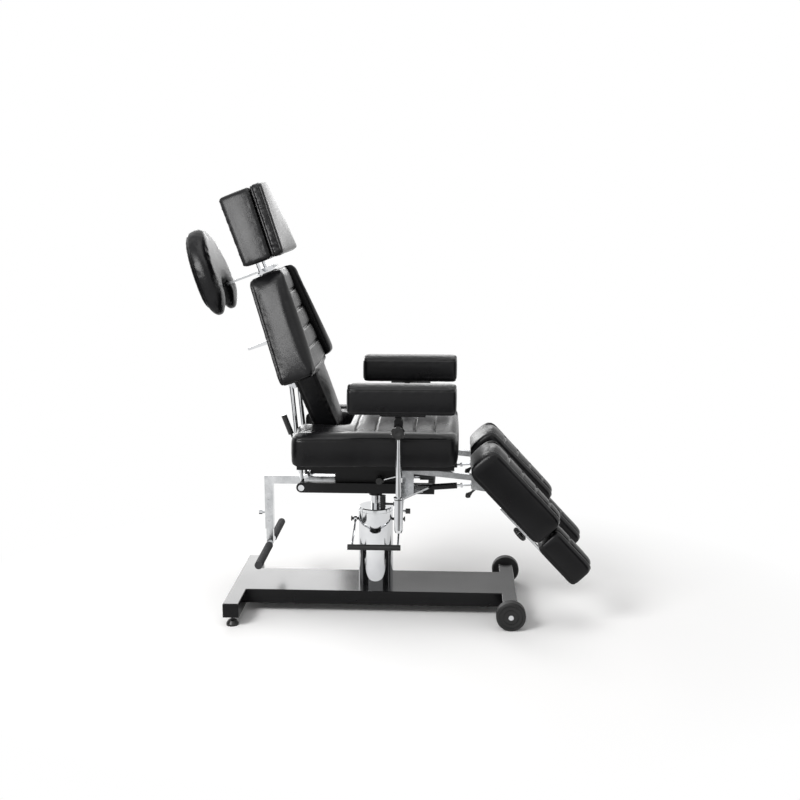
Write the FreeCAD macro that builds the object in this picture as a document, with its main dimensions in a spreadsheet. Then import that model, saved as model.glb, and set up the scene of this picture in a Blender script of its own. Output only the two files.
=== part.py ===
# A tattoo chair: an H-shaped base with a hydraulic pump, a swivelling seat frame, a reclining back
# with headrest and face cradle, two armrests, two split leg rests on gas springs and a rear grip bar.
# Millimetres. X points from the back to the legs, Y away from the near side, Z up, floor at Z 0.
import FreeCAD, Part
import math
import os
import re

import Sketcher
from FreeCAD import Placement, Rotation, Vector

SIZES = {
    # shared clearances, and where the pump's axis stands on the X axis
    "pump_x": -50.5, "fit_gap": 0.05, "slide_gap": 0.4, "soft_gap": 0.5, "overrun": 2,
    # base weldment
    "base_bottom": 34, "base_high": 50, "base_wall": 5, "base_round": 4, "beam_half": 117,
    "rear_bar_back": 517, "rear_bar_front": 461, "rear_bar_half": 269,
    "front_bar_back": 457, "front_bar_front": 510, "front_bar_half": 206,
    # levelling feet under the rear crossbar
    "foot_x": 488, "foot_y": 245, "foot_radius": 21.5, "foot_edge": 7, "foot_high": 17,
    "foot_neck": 15, "foot_stem": 5, "foot_stem_top": 78,
    # transport wheels at the ends of the front crossbar
    "wheel_x": 485, "wheel_y": 246, "wheel_radius": 51.5, "wheel_wide": 38, "wheel_round": 5,
    "wheel_boss": 16, "wheel_groove": 3, "wheel_groove_deep": 2, "groove_outer": 38, "groove_inner": 24,
    "bolt_radius": 6, "bolt_head": 9, "bolt_head_thick": 4, "bolt_in": 40,
    # pump cover, piston and valve
    "pump_radius": 62.7, "pump_top": 370, "pump_line": 355, "pump_line_high": 2, "pump_line_deep": 1.2,
    "pump_round": 3, "pump_floor": 16, "piston_radius": 16, "piston_foot": 112, "piston_top": 412,
    "spigot_radius": 12, "spigot_long": 32,
    "valve_x": 28, "valve_y": -35, "valve_radius": 11, "valve_high": 48, "valve_rib": 2,
    "valve_rib_count": 6, "valve_arm_z": 386, "valve_arm_radius": 4, "valve_end_x": 66, "valve_end": 8,
    # foot pedal on two stub axles
    "axle_z": 320, "axle_radius": 5, "axle_in": 16, "axle_left": 86, "axle_right": 103,
    "axle_cap": 9, "axle_cap_thick": 4, "pedal_left": 74, "pedal_right": 88, "pedal_hub": 10,
    "pedal_hub_half": 5, "pedal_wire": 4, "pedal_out": 160, "pedal_drop": 58,
    "pedal_bar": 10, "pedal_bar_left": 89, "pedal_bar_right": 98,
    # seat frame: rails, housing, board
    "rail_y": 110, "rail_wide": 20, "rail_bottom": 447, "rail_high": 36, "rail_front": 215,
    "cross_wide": 22, "housing_back": 137, "housing_front": 80, "board_bottom": 565, "board_thick": 15,
    "board_back": 250, "board_front": 285, "board_rear_half": 262, "board_front_half": 250,
    "notch_half": 105, "notch_x": 85, "notch_round": 25,
    "socket_flange": 45, "socket_thick": 6, "socket_neck": 24, "socket_lip": 10,
    # seat cushion
    "seat_back": 270, "seat_front": 298, "seat_high": 113, "seat_rear_half": 305,
    "seat_front_half": 286, "seat_end": 40, "seat_corner": 26, "seat_roll": 88, "seat_crown": 9,
    "seat_bulge": 5, "seat_seam": 7, "seat_channel": 7, "seat_channel_half": 9,
    "seat_step_x": 130, "seat_step_long": 120,
    "seat_seam_a": -54, "seat_seam_pitch": 67, "seat_seam_count": 5, "seat_lift_share": 0.33,
    # outrigger plates, leg support bars and the gas springs' rear ears
    "plate_top": 487, "plate_thick": 7, "plate_back": 100, "plate_front": 214, "plate_side": 138,
    "plate_knee_x": 142, "plate_knee_y": 268, "plate_tip": 322, "plate_tip_half": 13,
    "bar_y": 175, "bar_wide": 20, "bar_high": 20, "bar_back": 105, "bar_back_z": 550,
    "post_long": 40, "spring_y": 150, "spring_back_x": 160, "spring_back_z": 478,
    "ear_thick": 5, "ear_half": 16, "ear_drop": 13, "slot_half": 12, "pin_radius": 4,
    # arm sleeves, posts, clamps, brackets and cushions
    "arm_x": 100, "arm_y": 328, "sleeve_radius": 14.75, "sleeve_bottom": 370, "sleeve_top": 492,
    "sleeve_taper": 10, "sleeve_taper_radius": 11, "collar_radius": 16.5, "collar_high": 5,
    "arm_post_radius": 9.5, "arm_post_foot": 385, "arm_post_top": 728,
    "clamp_bottom": 700, "clamp_radius": 15, "clamp_top": 735, "tilt_z": 752, "cheek_radius": 14,
    "cheek_thick": 6, "lug_half": 9, "lug_radius": 11, "bracket_back": 40, "bracket_front": 190,
    "bracket_half": 30, "bracket_thick": 6, "arm_knob_z": 719, "knob_gap": 3,
    "arm_back": 70, "arm_front": 293, "arm_bottom": 778, "arm_high": 94, "arm_half": 55,
    "arm_end": 18, "arm_corner": 18, "arm_crown": 8, "arm_bulge": 4,
    # star knobs
    "knob_radius": 23.5, "knob_thick": 18, "knob_dent": 7, "knob_dent_out": 3, "knob_dent_count": 6,
    "knob_screw": 4, "knob_neck": 10, "knob_dome": 4, "leg_knob_radius": 27.5, "leg_knob_thick": 15,
    # tilt lever on the housing's near side and brake lever under the near outrigger
    "lever_x": 22, "lever_z": 497, "lever_y": 130, "lever_hub": 12, "lever_cone_x": 17,
    "lever_cone_end": 6, "lever_rod": 4, "lever_bend_x": 81, "lever_bend_z": 513,
    "lever_grip_x": 165, "lever_end_x": 214, "lever_grip": 11, "lever_knurl": 6, "lever_knurl_count": 6,
    "lever_pivot": 6,
    "brake_x": 112, "brake_y": 200, "brake_z": 468, "brake_hub": 7, "brake_low_x": 104,
    "brake_low_z": 408, "brake_rod": 4, "brake_thick": 10, "brake_knob_x": 14, "brake_knob": 9,
    "brake_knob_long": 16,
    # back frame: pivot at the rear of the rails, inclination from the vertical
    "back_x": 255, "back_z": 465, "back_angle": 20.7, "shaft_radius": 9, "shaft_head": 11,
    "shaft_head_thick": 4, "shaft_in": 3, "strut_y": 86, "strut_radius": 8, "strut_front": 95,
    "strut_top": 346,
    "plate_rear": 104, "back_plate_low": 338, "back_plate_high": 440, "back_plate_half": 26,
    "trigger_front": 26, "trigger_up": 27, "trigger_bar": 6, "trigger_hub": 10, "trigger_y": 60,
    "trigger_half": 6, "trigger_rod": 4, "grip_low": 184, "grip_high": 256, "grip_radius": 10,
    # back cushion: centre panel and waist
    "panel_rear": 115, "panel_front": 203, "panel_top": 745, "panel_low": 378, "panel_top_half": 116,
    "panel_low_half": 222, "panel_round": 14, "panel_corner": 12, "panel_crown": 7, "panel_seam": 382,
    "panel_pitch": 69, "panel_seam_count": 5, "panel_channel": 7, "panel_channel_half": 9, "waist_low": 140,
    "waist_low_half": 84, "waist_high_half": 128, "waist_end": 20, "panel_draw": 2,
    # bolsters
    "bolster_rear": 101, "bolster_front": 229, "bolster_low": 375, "bolster_top": 745,
    "bolster_low_half": 325, "bolster_top_half": 167, "bolster_round": 24, "bolster_corner": 22,
    "bolster_crown": 3, "bolster_bulge": 5, "bolster_seat": 0.2,
    # head guides, posts, block and pad
    "head_post_x": 138, "head_post_y": 60, "head_post_radius": 6, "head_post_foot": 600,
    "guide_radius": 9, "guide_foot": 566, "guide_collar": 12, "bridge_rear": 124, "bridge_front": 178,
    "bridge_thick": 4, "bridge_gap": 1, "socket_half": 21, "socket_high": 14,
    "head_low": 785, "head_high": 1040, "head_rear": 98, "head_mid": 213.5, "head_front": 262,
    "head_low_half": 176, "head_high_half": 92, "head_low_rear": 110, "head_round": 12,
    "head_corner": 14, "head_bulge": 4, "head_post_deep": 130, "pad_round": 12, "pad_corner": 9,
    "pad_crown": 4, "pad_side": 6,
    "lock_z": 515, "lock_back": 13, "lock_hub": 9, "lock_tip": 5, "lock_wide": 14, "lock_ear": 6,
    # face cradle
    "cradle_bar_half": 15, "cradle_bar_thick": 8, "cradle_bar_front": 192, "cradle_pin_x": 35,
    "cradle_rear": 74, "cradle_half": 165, "cradle_top": 974, "cradle_side": 762, "cradle_low": 664,
    "cradle_arch": 55, "cradle_round": 14, "cradle_lug": 6, "cradle_lug_half": 12, "cradle_neck_long": 18,
    # leg rests: pivot at the front of the support bars, slope below the horizontal
    "leg_x": 356, "leg_z": 525, "leg_angle": 47, "leg_pin": 6, "lug_thick": 6, "lug_gap": 1.5,
    "rail_foot": 312, "leg_rail_thick": 8, "leg_rail_half": 11, "leg_rail_start": 20,
    "clevis_along": 21, "clevis_drop": 24, "clevis_round": 10, "leg_lug_round": 12, "lug_rear": 8,
    "lug_long": 60,
    "leg_notch_half": 19, "leg_notch_top": 17, "leg_notch_front": 16,
    "leg_back": 50, "leg_front": 305, "leg_bottom": 5, "leg_top": 122, "leg_out_knee": 267,
    "leg_out_ankle": 256, "leg_in_knee": 45, "leg_in_ankle": 99, "leg_end": 34, "leg_corner": 14,
    "leg_roll": 36, "leg_crown": 12, "leg_bulge": 3, "leg_seam": 5, "leg_channel": 6,
    "leg_channel_half": 8, "leg_seam_a": 32, "leg_seam_pitch": 70, "leg_seam_count": 4, "leg_tip": 14,
    # foot slides and foot cushions
    "slide_thick": 8, "slide_back": 140, "slide_slot": 4.5, "slide_slot_end": 12, "slide_travel": 100,
    "slide_front": 465, "slide_plate_back": 335, "slide_plate_half": 26,
    "foot_gap": 10, "foot_end": 500, "foot_bottom": 2, "foot_top": 88, "foot_out": 254, "foot_in": 99,
    "foot_tip": 26, "leg_knob_x": 255,
    # gas springs
    "spring_body": 10.5, "spring_body_start": 49, "spring_body_end": 135, "spring_neck": 6,
    "spring_eye": 9, "spring_eye_half": 8, "spring_rod": 4, "rod_nut": 8, "rod_nut_thick": 8,
    "rod_nut_at": 147, "rod_in": 40, "clevis_eye": 11, "clevis_hole": 7.5, "clevis_half": 5,
    "release_x": 32, "release_z": 18, "release_y": 173, "release_half": 6, "release_hub": 7,
    "release_drop": 42, "release_knob": 11, "release_neck": 4, "release_top": 16, "release_dome": 3,
    # rear grip bar
    "tube_half": 15, "tube_front": 10, "tube_back": 404, "tube_z": 466, "tube_low": 280,
    "inner_half": 12.2, "inner_top": 438, "inner_wall": 3, "cross_z": 222, "cross_radius": 11,
    "grip_cap": 4, "grip_foam": 14, "grip_near_in": 30, "grip_near_out": 257, "grip_far_in": 65,
    "grip_far_out": 270, "hole_radius": 3.5, "hole_a": 392, "hole_b": 312, "ring_z": 354,
    "ring_radius": 8, "ring_thick": 1.5, "rear_pin_z": 339, "rear_pin_radius": 4, "rear_pin_head": 8,
    "rear_pin_out": 24, "rear_pin_slot": 5, "slot_low": 302, "slot_high": 426,
}
END_STEPS = 3
PATTERN_TURN = 360
NEAR = "-1"
FAR = "1"
SIDES = {"near": NEAR, "far": FAR}

document = FreeCAD.newDocument("TattooChair")
sheet = document.addObject("Spreadsheet::Sheet", "Sizes")
for row, (alias, size) in enumerate(SIZES.items(), start=1):
    sheet.set("A%d" % row, alias)
    sheet.set("B%d" % row, str(size))
    sheet.setAlias("B%d" % row, alias)
probe = document.addObject("App::FeaturePython", "Probe")
probe.addProperty("App::PropertyFloat", "Value")
document.recompute()
nodes = []


def bound(text):
    """The expression with the sheet's name before each of its sizes."""
    return re.sub(r"[a-z]\w*", lambda word: "Sizes." + word.group(0) if word.group(0) in SIZES
                  else word.group(0), text)


def number(text):
    """The value of an expression in the sheet's sizes."""
    probe.setExpression("Value", bound(text))
    probe.recompute()
    return probe.Value


def put(item, at=("0", "0", "0"), axis=None, angle=None):
    """Turn an object about an axis, then move it to a point written in sizes."""
    if axis is not None:
        item.Placement = Placement(Vector(), Rotation(Vector(*axis), 1))
        item.setExpression("Placement.Rotation.Angle", bound(angle))
    for letter, text in zip("xyz", at):
        if text != "0":
            item.setExpression("Placement.Base." + letter, bound(text))
    return item


def block(name, x, y, z):
    """A box between two sizes along each axis."""
    item = document.addObject("Part::Box", name)
    for side, (low, high) in zip(("Length", "Width", "Height"), (x, y, z)):
        item.setExpression(side, bound("(%s) - (%s)" % (high, low)))
    return put(item, (x[0], y[0], z[0]))


ALONG = {"x": ((0, 1, 0), "90"), "y": ((-1, 0, 0), "90"), "z": (None, None)}


def rod(name, radius, along, low, high, at=("0", "0")):
    """A round bar along one axis, centred on a point of the other two."""
    item = document.addObject("Part::Cylinder", name)
    item.setExpression("Radius", bound(radius))
    item.setExpression("Height", bound("(%s) - (%s)" % (high, low)))
    point = list(at)
    point.insert("xyz".index(along), low)
    return put(item, point, *ALONG[along])


def cone(name, low_radius, high_radius, along, low, high, at=("0", "0")):
    """A cone along one axis, centred on a point of the other two."""
    item = document.addObject("Part::Cone", name)
    item.setExpression("Radius1", bound(low_radius))
    item.setExpression("Radius2", bound(high_radius))
    item.setExpression("Height", bound("(%s) - (%s)" % (high, low)))
    point = list(at)
    point.insert("xyz".index(along), low)
    return put(item, point, *ALONG[along])


def strut(name, radius, start, end, y):
    """A round bar in a plane of constant Y, from one point (x, z) to another."""
    item = document.addObject("Part::Cylinder", name)
    run = "((%s) - (%s))" % (end[0], start[0])
    rise = "((%s) - (%s))" % (end[1], start[1])
    item.setExpression("Radius", bound(radius))
    item.setExpression("Height", bound("sqrt(%s ^ 2 + %s ^ 2)" % (run, rise)))
    return put(item, (start[0], y, start[1]), (0, 1, 0), "atan2(%s; %s)" % (run, rise))


def single(name, part):
    """A compound round one object, so that the object keeps its own place in it."""
    item = document.addObject("Part::Compound", name)
    item.Links = [part]
    return item


def fuse(name, *items):
    item = document.addObject("Part::MultiFuse", name)
    item.Shapes = list(items)
    item.Refine = True
    return item


def cut(name, base, *tools):
    item = document.addObject("Part::Cut", name)
    item.Base = base
    item.Tool = tools[0] if len(tools) == 1 else fuse(name + "Tools", *tools)
    return item


def outline(body, plane, points, name="Outline"):
    """A closed sketch of straight lines whose corners are held to sizes of the sheet."""
    sketch = body.newObject("Sketcher::SketchObject", name)
    sketch.AttachmentSupport = [(next(f for f in body.Origin.OriginFeatures if f.Role == plane), "")]
    sketch.MapMode = "FlatFace"
    corners = [Vector(number(across), number(up), 0) for across, up in points]
    for index, corner in enumerate(corners):
        sketch.addGeometry(Part.LineSegment(corner, corners[(index + 1) % len(corners)]), False)
    for index in range(len(corners)):
        following = (index + 1) % len(corners)
        sketch.addConstraint(Sketcher.Constraint("Coincident", index, 2, following, 1))
    for index, (texts, corner) in enumerate(zip(points, corners)):
        for kind, text, value in zip(("DistanceX", "DistanceY"), texts, (corner.x, corner.y)):
            held = sketch.addConstraint(Sketcher.Constraint(kind, -1, 1, index, 1, value))
            sketch.setExpression("Constraints[%d]" % held, bound(text))
    return sketch


def ring(body, plane, radius, at=("0", "0"), name="Circle"):
    """A sketch of one circle held to sizes of the sheet."""
    sketch = body.newObject("Sketcher::SketchObject", name)
    sketch.AttachmentSupport = [(next(f for f in body.Origin.OriginFeatures if f.Role == plane), "")]
    sketch.MapMode = "FlatFace"
    centre = Vector(number(at[0]), number(at[1]), 0)
    sketch.addGeometry(Part.Circle(centre, Vector(0, 0, 1), number(radius)), False)
    held = sketch.addConstraint(Sketcher.Constraint("Radius", 0, number(radius)))
    sketch.setExpression("Constraints[%d]" % held, bound(radius))
    for kind, text, value in zip(("DistanceX", "DistanceY"), at, (centre.x, centre.y)):
        held = sketch.addConstraint(Sketcher.Constraint(kind, -1, 1, 0, 3, value))
        sketch.setExpression("Constraints[%d]" % held, bound(text))
    return sketch


PLANES = {"xy": "XY_Plane", "xz": "XZ_Plane"}


def plate(name, plane, points, low, high):
    """A flat piece: an outline in XY padded up Z, or an outline in XZ padded along Y."""
    body = document.addObject("PartDesign::Body", name)
    sketch = outline(body, PLANES[plane], points)
    pad = body.newObject("PartDesign::Pad", "Pad")
    pad.Profile = sketch
    pad.setExpression("Length", bound("(%s) - (%s)" % (high, low)))
    pad.Reversed = plane == "xz"
    sketch.setExpression(".AttachmentOffset.Base.z",
                         bound(low if plane == "xy" else "0 - (%s)" % low))
    return body


def lathe(name, points):
    """A piece turned about Z from an outline of (radius, height)."""
    body = document.addObject("PartDesign::Body", name)
    sketch = outline(body, "XZ_Plane", points)
    turn = body.newObject("PartDesign::Revolution", "Turn")
    turn.Profile = sketch
    turn.ReferenceAxis = (sketch, ["V_Axis"])
    turn.Angle = PATTERN_TURN
    return body


def star_knob(name, radius, thick, screw):
    """A lobed knob about Z: its face is at 0, it rises by its thickness, its screw goes down."""
    body = document.addObject("PartDesign::Body", name)
    disc = outline(body, "XZ_Plane", [
        ("0", "0 - (%s)" % screw), ("knob_screw", "0 - (%s)" % screw), ("knob_screw", "0 - knob_gap"),
        ("knob_neck", "0 - knob_gap"), ("knob_neck", "0"), (radius + " - knob_dome", "0"),
        (radius, "knob_dome"), (radius, thick + " - knob_dome"), (radius + " - knob_dome", thick),
        ("knob_neck", thick), ("0", thick + " - knob_dome / 2")])
    turn = body.newObject("PartDesign::Revolution", "Turn")
    turn.Profile = disc
    turn.ReferenceAxis = (disc, ["V_Axis"])
    turn.Angle = PATTERN_TURN
    dent = ring(body, "XY_Plane", "knob_dent", (radius + " + knob_dent_out", "0"), "Dent")
    document.recompute()
    groove = body.newObject("PartDesign::Pocket", "Groove")
    groove.Profile = dent
    groove.Type = "ThroughAll"
    groove.Midplane = True
    pattern = body.newObject("PartDesign::PolarPattern", "Dents")
    pattern.Originals = [groove]
    pattern.Axis = (dent, ["N_Axis"])
    pattern.Angle = PATTERN_TURN
    pattern.setExpression("Occurrences", bound("knob_dent_count"))
    body.Tip = pattern
    return body


FRAMES = {
    "chair": (("pump_x + (%s)", "%s", "%s"), None, None),
    "back": (("pump_x - back_x + (%s) * cos(back_angle) - (%s) * sin(back_angle)", "%s",
              "back_z + (%s) * sin(back_angle) + (%s) * cos(back_angle)"), (0, -1, 0), "back_angle"),
    "leg": (("pump_x + leg_x + (%s) * cos(leg_angle) + (%s) * sin(leg_angle)", "%s",
             "leg_z - (%s) * sin(leg_angle) + (%s) * cos(leg_angle)"), (0, 1, 0), "leg_angle"),
}


def node(item, label, frame="chair", at=("0", "0", "0"), axis=None, angle=None):
    """Name a finished sub-part and stand it in the frame of the piece that carries it."""
    (x, y, z), frame_axis, frame_angle = FRAMES[frame]
    if frame == "chair":
        point = (x % at[0], y % at[1], z % at[2])
    else:
        point = (x % (at[0], at[2]), y % at[1], z % (at[0], at[2]))
    put(item, point, axis or frame_axis, angle or frame_angle)
    item.Label = label
    nodes.append(item)
    return item


# Soft pieces. A section is a closed wire across the piece, and a cushion is lofted through sections.
def stations(start, end, rounding, seams=(), seam_half=0, depth=0):
    """Places along a cushion: (level, inset of the rounded end, depth of the channel)."""
    rows = []
    for step in range(END_STEPS + 1):
        turn = math.pi / 2 * step / END_STEPS
        rows.append((start + rounding * (1 - math.cos(turn)), rounding * (1 - math.sin(turn)), 0))
    for seam in seams:
        rows += [(seam - seam_half, 0, 0), (seam, 0, depth), (seam + seam_half, 0, 0)]
    for step in range(END_STEPS, -1, -1):
        turn = math.pi / 2 * step / END_STEPS
        rows.append((end - rounding * (1 - math.cos(turn)), rounding * (1 - math.sin(turn)), 0))
    return rows


def along_x(level, across, up):
    return Vector(level, across, up)


def along_z(level, across, up):
    return Vector(up, across, level)


def arc(start, middle, end):
    return Part.Arc(start, middle, end).toShape()


def line(start, end):
    return Part.LineSegment(start, end).toShape()


def soft_section(turned, level, low, high, base, top, corner, crown, bulge=0, roll=0, seam=0, sink=0):
    """A cushion's section: flat base, bulging sides, round corners, crowned top with side rolls."""
    half_turn_share = 1 - math.sqrt(2) / 2
    middle = (low + high) / 2

    def point(across, up):
        return turned(level, across, up)

    def corner_arc(edge, inward):
        return arc(point(edge, top - corner), point(edge + inward * half_turn_share * corner,
                                                    top - half_turn_share * corner),
                   point(edge + inward * corner, top))

    side_middle = (base + top - corner) / 2
    edges = [line(point(low, base), point(high, base)),
             arc(point(high, base), point(high + bulge, side_middle), point(high, top - corner)),
             corner_arc(high, -1)]
    if roll:
        valley = top - seam - sink / 2
        edges += [arc(point(high - corner, top), point(high - (corner + roll) / 2, top + crown / 2),
                      point(high - roll, valley)),
                  arc(point(high - roll, valley), point(middle, top + crown - sink),
                      point(low + roll, valley)),
                  arc(point(low + roll, valley), point(low + (corner + roll) / 2, top + crown / 2),
                      point(low + corner, top))]
    else:
        edges.append(arc(point(high - corner, top), point(middle, top + crown - sink),
                         point(low + corner, top)))
    edges += [arc(point(low + corner, top), point(low + half_turn_share * corner,
                                                  top - half_turn_share * corner),
                  point(low, top - corner)),
              arc(point(low, top - corner), point(low - bulge, side_middle), point(low, base))]
    return Part.Wire(edges)


def soft(name, shape):
    item = document.addObject("Part::Feature", name)
    item.Shape = shape
    return item


def loft(sections):
    return Part.makeLoft(sections, True, True)


def between(level, start, end, start_value, end_value):
    """A straight change from one value to another along a piece."""
    return start_value + (end_value - start_value) * (level - start) / (end - start)


def eased(level, start, end, start_value, end_value):
    """The same change with a soft start and end."""
    share = min(max((level - start) / (end - start), 0), 1)
    return start_value + (end_value - start_value) * share * share * (3 - 2 * share)


# Base weldment: beam and two crossbars, hollow beam, holes for the feet's stems and wheel bolts.
def make_base():
    body = document.addObject("PartDesign::Body", "BaseSolid")
    sketch = outline(body, "XY_Plane", [
        ("-rear_bar_back", "-rear_bar_half"), ("-rear_bar_front", "-rear_bar_half"),
        ("-rear_bar_front", "-beam_half"), ("front_bar_back", "-beam_half"),
        ("front_bar_back", "-front_bar_half"), ("front_bar_front", "-front_bar_half"),
        ("front_bar_front", "front_bar_half"), ("front_bar_back", "front_bar_half"),
        ("front_bar_back", "beam_half"), ("-rear_bar_front", "beam_half"),
        ("-rear_bar_front", "rear_bar_half"), ("-rear_bar_back", "rear_bar_half")])
    sketch.setExpression(".AttachmentOffset.Base.z", bound("base_bottom"))
    pad = body.newObject("PartDesign::Pad", "Pad")
    pad.Profile = sketch
    pad.setExpression("Length", bound("base_high"))
    document.recompute()
    top = number("base_bottom + base_high")
    edges = ["Edge%d" % (index + 1) for index, edge in enumerate(pad.Shape.Edges)
             if edge.BoundBox.ZMin > top - number("base_round")
             and edge.BoundBox.ZLength < number("base_round")]
    rounds = body.newObject("PartDesign::Fillet", "TopEdges")
    rounds.Base = (pad, edges)
    rounds.setExpression("Radius", bound("base_round"))
    hollow = block("BaseHollow", ("-rear_bar_front", "front_bar_back"),
                   ("base_wall - beam_half", "beam_half - base_wall"),
                   ("base_bottom + base_wall", "base_bottom + base_high - base_wall"))
    holes = [rod("StemHole", "foot_stem + fit_gap", "z", "base_bottom - overrun",
                 "base_bottom + base_high - base_wall", ("-foot_x", side + " * foot_y"))
             for side in SIDES.values()]
    bores = [rod("BoltHole", "bolt_radius + fit_gap", "y", "front_bar_half - bolt_in",
                 "front_bar_half + overrun", ("wheel_x", "wheel_radius")),
             rod("BoltHole", "bolt_radius + fit_gap", "y", "-front_bar_half - overrun",
                 "bolt_in - front_bar_half", ("wheel_x", "wheel_radius"))]
    node(cut("BaseFrame", body, hollow, *holes, *bores), "base_frame")


def make_feet_and_wheels():
    for side, sign in SIDES.items():
        foot = lathe("Foot", [("0", "0"), ("foot_radius", "0"), ("foot_radius", "foot_edge"),
                              ("foot_neck", "foot_high"), ("foot_stem", "foot_high"),
                              ("foot_stem", "foot_stem_top"), ("0", "foot_stem_top")])
        node(foot, "levelling_foot_" + side, at=("-foot_x", sign + " * foot_y", "0"))
        inner = "(front_bar_half + slide_gap - wheel_y)"
        face = "wheel_wide / 2"
        wheel = lathe("Wheel", [
            ("bolt_radius + fit_gap", inner), ("wheel_boss", inner), ("wheel_boss", "-" + face),
            ("wheel_radius - wheel_round", "-" + face), ("wheel_radius", "wheel_round - " + face),
            ("wheel_radius", face + " - wheel_round"), ("wheel_radius - wheel_round", face),
            ("groove_outer + wheel_groove", face),
            ("groove_outer + wheel_groove", face + " - wheel_groove_deep"),
            ("groove_outer", face + " - wheel_groove_deep"), ("groove_outer", face),
            ("groove_inner + wheel_groove", face),
            ("groove_inner + wheel_groove", face + " - wheel_groove_deep"),
            ("groove_inner", face + " - wheel_groove_deep"), ("groove_inner", face),
            ("bolt_radius + fit_gap", face)])
        node(wheel, "wheel_" + side, at=("wheel_x", sign + " * wheel_y", "wheel_radius"),
             axis=(1, 0, 0), angle="-90 * " + sign)


def make_pump():
    bore = "piston_radius + fit_gap"
    foot = "base_bottom + base_high"
    cover = lathe("CoverSolid", [
        ("0", foot), ("pump_radius", foot), ("pump_radius", "pump_line"),
        ("pump_radius - pump_line_deep", "pump_line"),
        ("pump_radius - pump_line_deep", "pump_line + pump_line_high"),
        ("pump_radius", "pump_line + pump_line_high"), ("pump_radius", "pump_top - pump_round"),
        ("pump_radius - pump_round", "pump_top"), (bore, "pump_top"), (bore, foot + " + pump_floor"),
        ("0", foot + " + pump_floor")])
    axles = [rod("AxleHole", "axle_radius + fit_gap", "x", "-pump_radius - overrun",
                 "axle_in - pump_radius", ("0", "axle_z")),
             rod("AxleHole", "axle_radius + fit_gap", "x", "pump_radius - axle_in",
                 "pump_radius + overrun", ("0", "axle_z"))]
    node(cut("PumpCover", cover, *axles), "pump_cover")
    piston = lathe("Piston", [("0", "piston_foot"), ("piston_radius", "piston_foot"),
                              ("piston_radius", "piston_top"), ("spigot_radius", "piston_top"),
                              ("spigot_radius", "piston_top + spigot_long"),
                              ("0", "piston_top + spigot_long")])
    node(piston, "piston_rod")
    rib = "valve_high / valve_rib_count"
    profile = [("0", "pump_top")]
    for count in range(SIZES["valve_rib_count"]):
        level = "pump_top + %s * %d" % (rib, count)
        edge = level + " + %s / 2" % rib
        profile += [("valve_radius - valve_rib", level), ("valve_radius - valve_rib", edge),
                    ("valve_radius", edge), ("valve_radius", level + " + " + rib)]
    profile.append(("0", "pump_top + valve_high"))
    stem = put(lathe("ValveStem", profile), ("valve_x", "valve_y", "0"))
    arm = rod("ValveArm", "valve_arm_radius", "x", "valve_x", "valve_end_x", ("valve_y", "valve_arm_z"))
    end = rod("ValveEnd", "valve_end", "x", "valve_end_x", "valve_end_x + valve_end",
              ("valve_y", "valve_arm_z"))
    node(fuse("PumpValve", stem, arm, end), "pump_valve")


def make_bolts():
    """The wheels' bolts and the two stub axles of the pedal."""
    place = ("wheel_x", "wheel_radius")
    out = "wheel_y + wheel_wide / 2 + slide_gap"
    pieces = [
        rod("FarBolt", "bolt_radius", "y", "front_bar_half - bolt_in", out, place),
        rod("FarHead", "bolt_head", "y", out, out + " + bolt_head_thick", place),
        rod("NearBolt", "bolt_radius", "y", "0 - (%s)" % out, "bolt_in - front_bar_half", place),
        rod("NearHead", "bolt_head", "y", "0 - (%s) - bolt_head_thick" % out, "0 - (%s)" % out, place),
        rod("LeftAxle", "axle_radius", "x", "-axle_left", "axle_in - pump_radius", ("0", "axle_z")),
        rod("LeftCap", "axle_cap", "x", "-axle_left - axle_cap_thick", "-axle_left", ("0", "axle_z")),
        rod("RightAxle", "axle_radius", "x", "pump_radius - axle_in", "axle_right", ("0", "axle_z")),
        rod("RightCap", "axle_cap", "x", "axle_right", "axle_right + axle_cap_thick", ("0", "axle_z"))]
    node(fuse("AxleBolts", *pieces), "axle_bolts")


def make_pedal():
    """A wire bail with a hub on each stub axle and a rubber sleeve on its front run."""
    hubs = []
    arms = []
    bores = []
    length = "sqrt(pedal_out ^ 2 + pedal_drop ^ 2)"
    for place in ("-pedal_left", "pedal_right"):
        low = place + " - pedal_hub_half"
        high = place + " + pedal_hub_half"
        hubs.append(rod("PedalHub", "pedal_hub", "x", low, high, ("0", "axle_z")))
        bores.append(rod("PedalBore", "axle_radius + fit_gap", "x", low + " - overrun",
                         high + " + overrun", ("0", "axle_z")))
        arm = document.addObject("Part::Cylinder", "PedalArm")
        arm.setExpression("Radius", bound("pedal_wire"))
        arm.setExpression("Height", bound(length))
        arms.append(put(arm, (place, "0", "axle_z"), (1, 0, 0), "90 deg + atan(pedal_drop / pedal_out)"))
    front = ("-pedal_out", "axle_z - pedal_drop")
    run = rod("PedalRun", "pedal_wire", "x", "-pedal_left - pedal_wire", "pedal_right + pedal_wire", front)
    bail = cut("PedalBail", fuse("BailSolid", *hubs, *arms, run), *bores)
    node(bail, "pedal_bail")
    sleeve = rod("Sleeve", "pedal_bar", "x", "-pedal_bar_left", "pedal_bar_right", front)
    sleeve = cut("PedalSleeve", sleeve, fuse("BailTool", *hubs, *arms, run))
    node(sleeve, "pedal_bar")


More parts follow.
